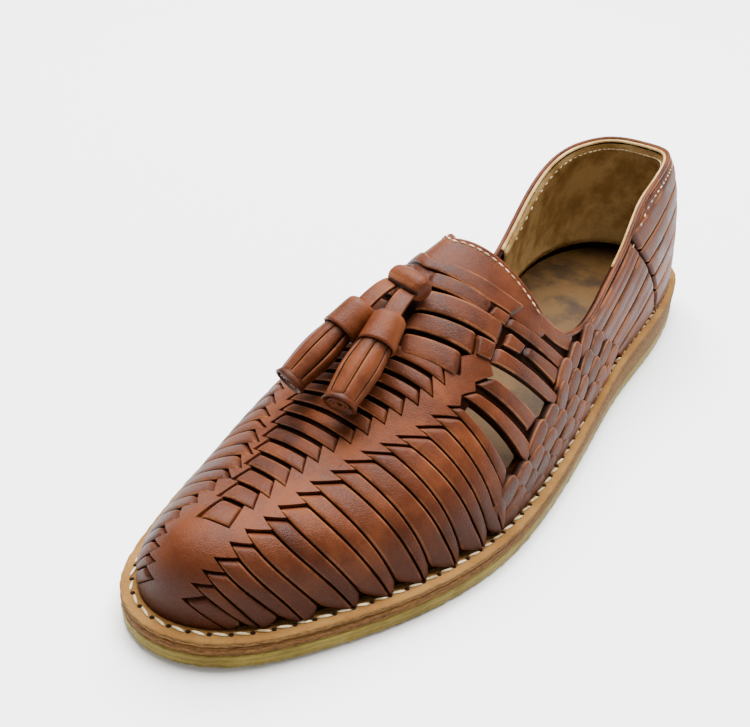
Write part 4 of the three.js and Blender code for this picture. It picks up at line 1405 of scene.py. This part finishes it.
def naturalLeather(name, base, dark, light, pitch):
    # pale leather from above, and dark fibrous bands where the surface stands upright, as at a cut edge
    material, w, shader, at = newMaterial(name)
    grain = useGroup(w, "grain", {"Vector": at, "Scale": 1100.0})
    layers = useGroup(w, "layers", {"Vector": at, "Pitch": pitch})
    up = w.add("ShaderNodeSeparateXYZ", {0: w.add("ShaderNodeNewGeometry").outputs["Normal"]}).outputs["Z"]
    side = w.range(w.math("ABSOLUTE", up), 0.85, 0.45)
    color = w.blend(linear(*base), linear(*light), w.math("MULTIPLY", grain["Mottle"], 0.6))
    fibres = w.blend(linear(*light), linear(*dark), layers["Fibre"])
    banded = w.blend(fibres, linear(*dark), w.math("MULTIPLY", layers["Bands"], 0.45))
    color = w.blend(color, banded, w.math("MULTIPLY", side, 0.85))
    color = w.blend(color, linear(*dark), w.math("MULTIPLY", grain["Pores"], 0.5))
    w.tree.links.new(color, shader.inputs["Base Color"])
    shader.inputs["Roughness"].default_value = 0.72
    shader.inputs["Specular IOR Level"].default_value = 0.12
    height = w.math("ADD", w.math("MULTIPLY", grain["Height"], 0.5), w.math("MULTIPLY", layers["Fibre"], 0.9))
    finishBump(w, shader, height, 0.00025)
    return material


crepeLooks = {"dark": (104, 84, 32), "light": (152, 134, 64), "pores": (84, 68, 34), "pitch": 0.0016}


def crepeRubber(name):
    # two yellows streaked by level bands and mottle, with small dark pores
    material, w, shader, at = newMaterial(name)
    grain = useGroup(w, "grain", {"Vector": at, "Scale": 700.0})
    layers = useGroup(w, "layers", {"Vector": at, "Pitch": crepeLooks["pitch"]})
    streak = w.math("ADD", w.math("MULTIPLY", layers["Bands"], 0.35), w.math("MULTIPLY", grain["Mottle"], 0.65))
    color = w.blend(linear(*crepeLooks["dark"]), linear(*crepeLooks["light"]), streak)
    color = w.blend(color, linear(*crepeLooks["pores"]), w.math("MULTIPLY", grain["Pores"], 0.6))
    w.tree.links.new(color, shader.inputs["Base Color"])
    shader.inputs["Roughness"].default_value = 0.5
    shader.inputs["Specular IOR Level"].default_value = 0.15
    shader.inputs["Subsurface Weight"].default_value = 0.25
    shader.inputs["Subsurface Radius"].default_value = (1.0, 0.9, 0.5)
    shader.inputs["Subsurface Scale"].default_value = 0.003
    finishBump(w, shader, w.math("ADD", grain["Height"], layers["Fibre"]), 0.00022)
    return material


def plainFinish(name, base, dark, roughness, scale, bump):
    # one colour, darker in the mottle and the pores, over a fine grain
    material, w, shader, at = newMaterial(name)
    grain = useGroup(w, "grain", {"Vector": at, "Scale": scale})
    color = w.blend(linear(*dark), linear(*base), w.range(grain["Mottle"], 0.0, 0.8))
    color = w.blend(color, linear(*dark), w.math("MULTIPLY", grain["Pores"], 0.4))
    w.tree.links.new(color, shader.inputs["Base Color"])
    shader.inputs["Roughness"].default_value = roughness
    shader.inputs["Specular IOR Level"].default_value = 0.12
    finishBump(w, shader, grain["Height"], bump)
    return material


leather = strapLeather("brownLeather")
tasselLeather = strapLeather("tasselLeather", wear=0.35, toeBurnishAndLowShade=False)
# the skin under the straps, near-black as painted shade seen through the gaps
gapShadeLeather = strapLeather("brownLeatherUnderPaintedShade", darker=0.86, wear=0.0, toeBurnishAndLowShade=False)
# natural leathers: base, dark and light colour in 0-255 steps, and the pitch of the layers at a cut edge
hides = {
    "naturalLeather": ((112, 74, 34), (40, 20, 7), (146, 102, 52), 0.0016),
    "weltLeather": ((118, 80, 38), (42, 22, 8), (150, 112, 60), 0.0011),
    "heelBoard": ((126, 88, 44), (56, 30, 11), (158, 118, 66), 0.0022),
}
tan, weltTan, board = (naturalLeather(name, *looks) for name, looks in hides.items())
crepe = crepeRubber("crepe")
# plain finishes: base and dark colour, roughness, scale of the grain and height of its bump
finishes = {
    "thread": ((214, 196, 160), (150, 128, 92), 0.75, 3000.0, 0.00008),
    # near-black painted shade for the needle holes
    "needleHolePaintedShade": ((22, 12, 7), (12, 6, 3), 0.8, 1500.0, 0.00005),
    "liningLeather": ((190, 158, 104), (148, 114, 64), 0.62, 1000.0, 0.00018),
    "insoleLeather": ((70, 48, 18), (40, 26, 9), 0.6, 900.0, 0.00018),
}
thread, needleHoleShade, cream, insoleTan = (plainFinish(name, *looks) for name, looks in finishes.items())
report("materials")

# the pieces, from the inside out
buildSkin(gapShadeLeather)
report("skin")

outerLines, innerLines = combLines(outerComb, False), combLines(innerComb, True)
for name, lines in (("combOuter", outerLines), ("combInner", innerLines)):
    skin = Skin()
    addComb(skin, lines)
    addMesh(name, skin, leather)
skin = Skin()
addCrossStraps(skin)
addMesh("crossStraps", skin, leather)
skin = Skin()
addSlitSheet(skin, outerLines, innerLines)
slitSheet = addMesh("slitSheet", skin, leather, merge=0.05)
thick = slitSheet.modifiers.new("thickness", "SOLIDIFY")
thick.thickness = sheet["thickness"] * mm
thick.offset = -1
report("vamp")

skin = Skin()
addSideStraps(skin, outerStraps, False, ("slit", "slit"))
addSideStraps(skin, innerStraps, True, ("slit", "slit"))
addSideStraps(skin, outerKeepers, False, ("cut", "cut"), lift=0.9)
for inner, drop in ((False, 0.0), (True, 0.10)):
    # a flat piece along the throat's edge, from the plug's corner to the collar
    rear = turned([(5.12, 0.58 - drop), (5.06, 0.44 - drop), (4.80, 0.335 - drop * 0.8)], inner)
    front = turned([(5.36, 0.58 - drop), (5.24, 0.42 - drop), (4.98, 0.30 - drop * 0.8)], inner)
    strapPatch(skin, rear, front, ends=("slit", "slit"), thickness=0.8, steps=40)
addMesh("windowStraps", skin, leather)
skin = Skin()
addSideStraps(skin, throatRows, False, ("slit", "slit"), lift=throatLift)
addSideStraps(skin, innerThroatRows, True, ("slit", "slit"), lift=throatLift)
strapPatch(skin, wideBand["front"], wideBand["rear"], ends=("slit", "slit"), rounding=(0.5, 0.5, 0.5, 0.5),
           chart=lambda uv: fromCross(uv[..., 0], uv[..., 1]), lift=wideBand["lift"], steps=60,
           thickness=wideBand["thickness"])
addMesh("throatStraps", skin, leather)
skin = Skin()
addBraid(skin, braidOuter, False)
addBraid(skin, braidInner, True)
addMesh("braid", skin, leather)
skin = Skin()
addQuarter(skin, outerQuarter, False)
addQuarter(skin, innerQuarter, True)
addMesh("quarterStraps", skin, leather)
skin = Skin()
addHeelBands(skin)
addCollarStrap(skin, False)
addCollarStrap(skin, True)
addMesh("heelBands", skin, leather)
report("sides")

addLayer("crepeSole", crepe, "outsole", lambda rib: sole["crepeInset"] + 0 * rib, treadHeight,
         crepeTop, rows=12, bulge=0.15, rough=0.25, corner=0.7)
addWedge(board)
addLayer("midsoleLayer", tan, "midsole", lambda rib: sole["leatherInset"] + 0 * rib,
         midsoleBottom, midsoleTop)
addWelt(weltTan)
addLayer("insoleSheet", insoleTan, "insole", lambda rib: featherAt(rib) + 2.9,
         lambda station: midsoleTop(station) + sole["gap"],
         lambda station: weltTop(station) + sole["insoleRise"], rows=4, bulge=0, rough=0, rings=300)
weltSeam(thread, needleHoleShade)
report("sole")

addCollar(leather, cream, thread)
addPlug(leather, thread)
addKeeper(tasselLeather)
addTassels(tasselLeather)
report("trim")

# floor, light and camera: lights as place, size in metres and watts, and the camera's place, way, roll and lens
studio = {
    "floor": 0.92, "sky": (1.0, 0.97, 0.93, 1), "skyStrength": 0.34, "aim": (0, 0, 0.03),
    "key": ((-0.35, 0.55, 1.7), (1.8, 1.6), 224), "front": ((0.7, -1.2, 1.3), (1.0, 0.8), 6),
}
view = {"at": (0.1393, -0.2728, 0.2049), "way": (-0.4706, 0.7153, -0.5167), "roll": 0.056, "lens": 48.91}

floorMesh = bpy.data.meshes.new("floor")
floorMesh.from_pydata([(-6, -6, 0), (6, -6, 0), (6, 6, 0), (-6, 6, 0)], [], [(0, 1, 2, 3)])
floor = bpy.data.objects.new("floor", floorMesh)
bpy.context.scene.collection.objects.link(floor)
floorMaterial, w, shader, at = newMaterial("floorPaper")
shader.inputs["Base Color"].default_value = (studio["floor"],) * 3 + (1,)
shader.inputs["Roughness"].default_value = 0.6
floorMesh.materials.append(floorMaterial)

world = bpy.data.worlds.new("studio")
world.use_nodes = True
world.node_tree.nodes["Background"].inputs[0].default_value = studio["sky"]
world.node_tree.nodes["Background"].inputs[1].default_value = studio["skyStrength"]
bpy.context.scene.world = world


def areaLight(name, at, size, power):
    data = bpy.data.lights.new(name, "AREA")
    data.shape = "RECTANGLE"
    data.size, data.size_y = size
    data.energy = power
    light = bpy.data.objects.new(name, data)
    light.location = at
    way = Vector(studio["aim"]) - Vector(at)
    light.rotation_mode = "QUATERNION"
    light.rotation_quaternion = way.to_track_quat("-Z", "Y")
    bpy.context.scene.collection.objects.link(light)


areaLight("key", *studio["key"])
areaLight("front", *studio["front"])

forward = unit(np.array(view["way"]))
level = unit(np.cross(forward, [0, 0, 1.0]))
upright = np.cross(level, forward)
right = level * math.cos(view["roll"]) + upright * math.sin(view["roll"])
up = upright * math.cos(view["roll"]) - level * math.sin(view["roll"])
cameraData = bpy.data.cameras.new("camera")
cameraData.lens = view["lens"]
cameraData.sensor_width = 36
cameraData.clip_start = 0.01
cameraData.clip_end = 20
camera = bpy.data.objects.new("camera", cameraData)
columns = np.stack([right, up, -forward, np.array(view["at"])], -1)
camera.matrix_world = Matrix([list(row) for row in columns] + [[0, 0, 0, 1]])
bpy.context.scene.collection.objects.link(camera)
bpy.context.scene.camera = camera

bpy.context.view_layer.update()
report("all")
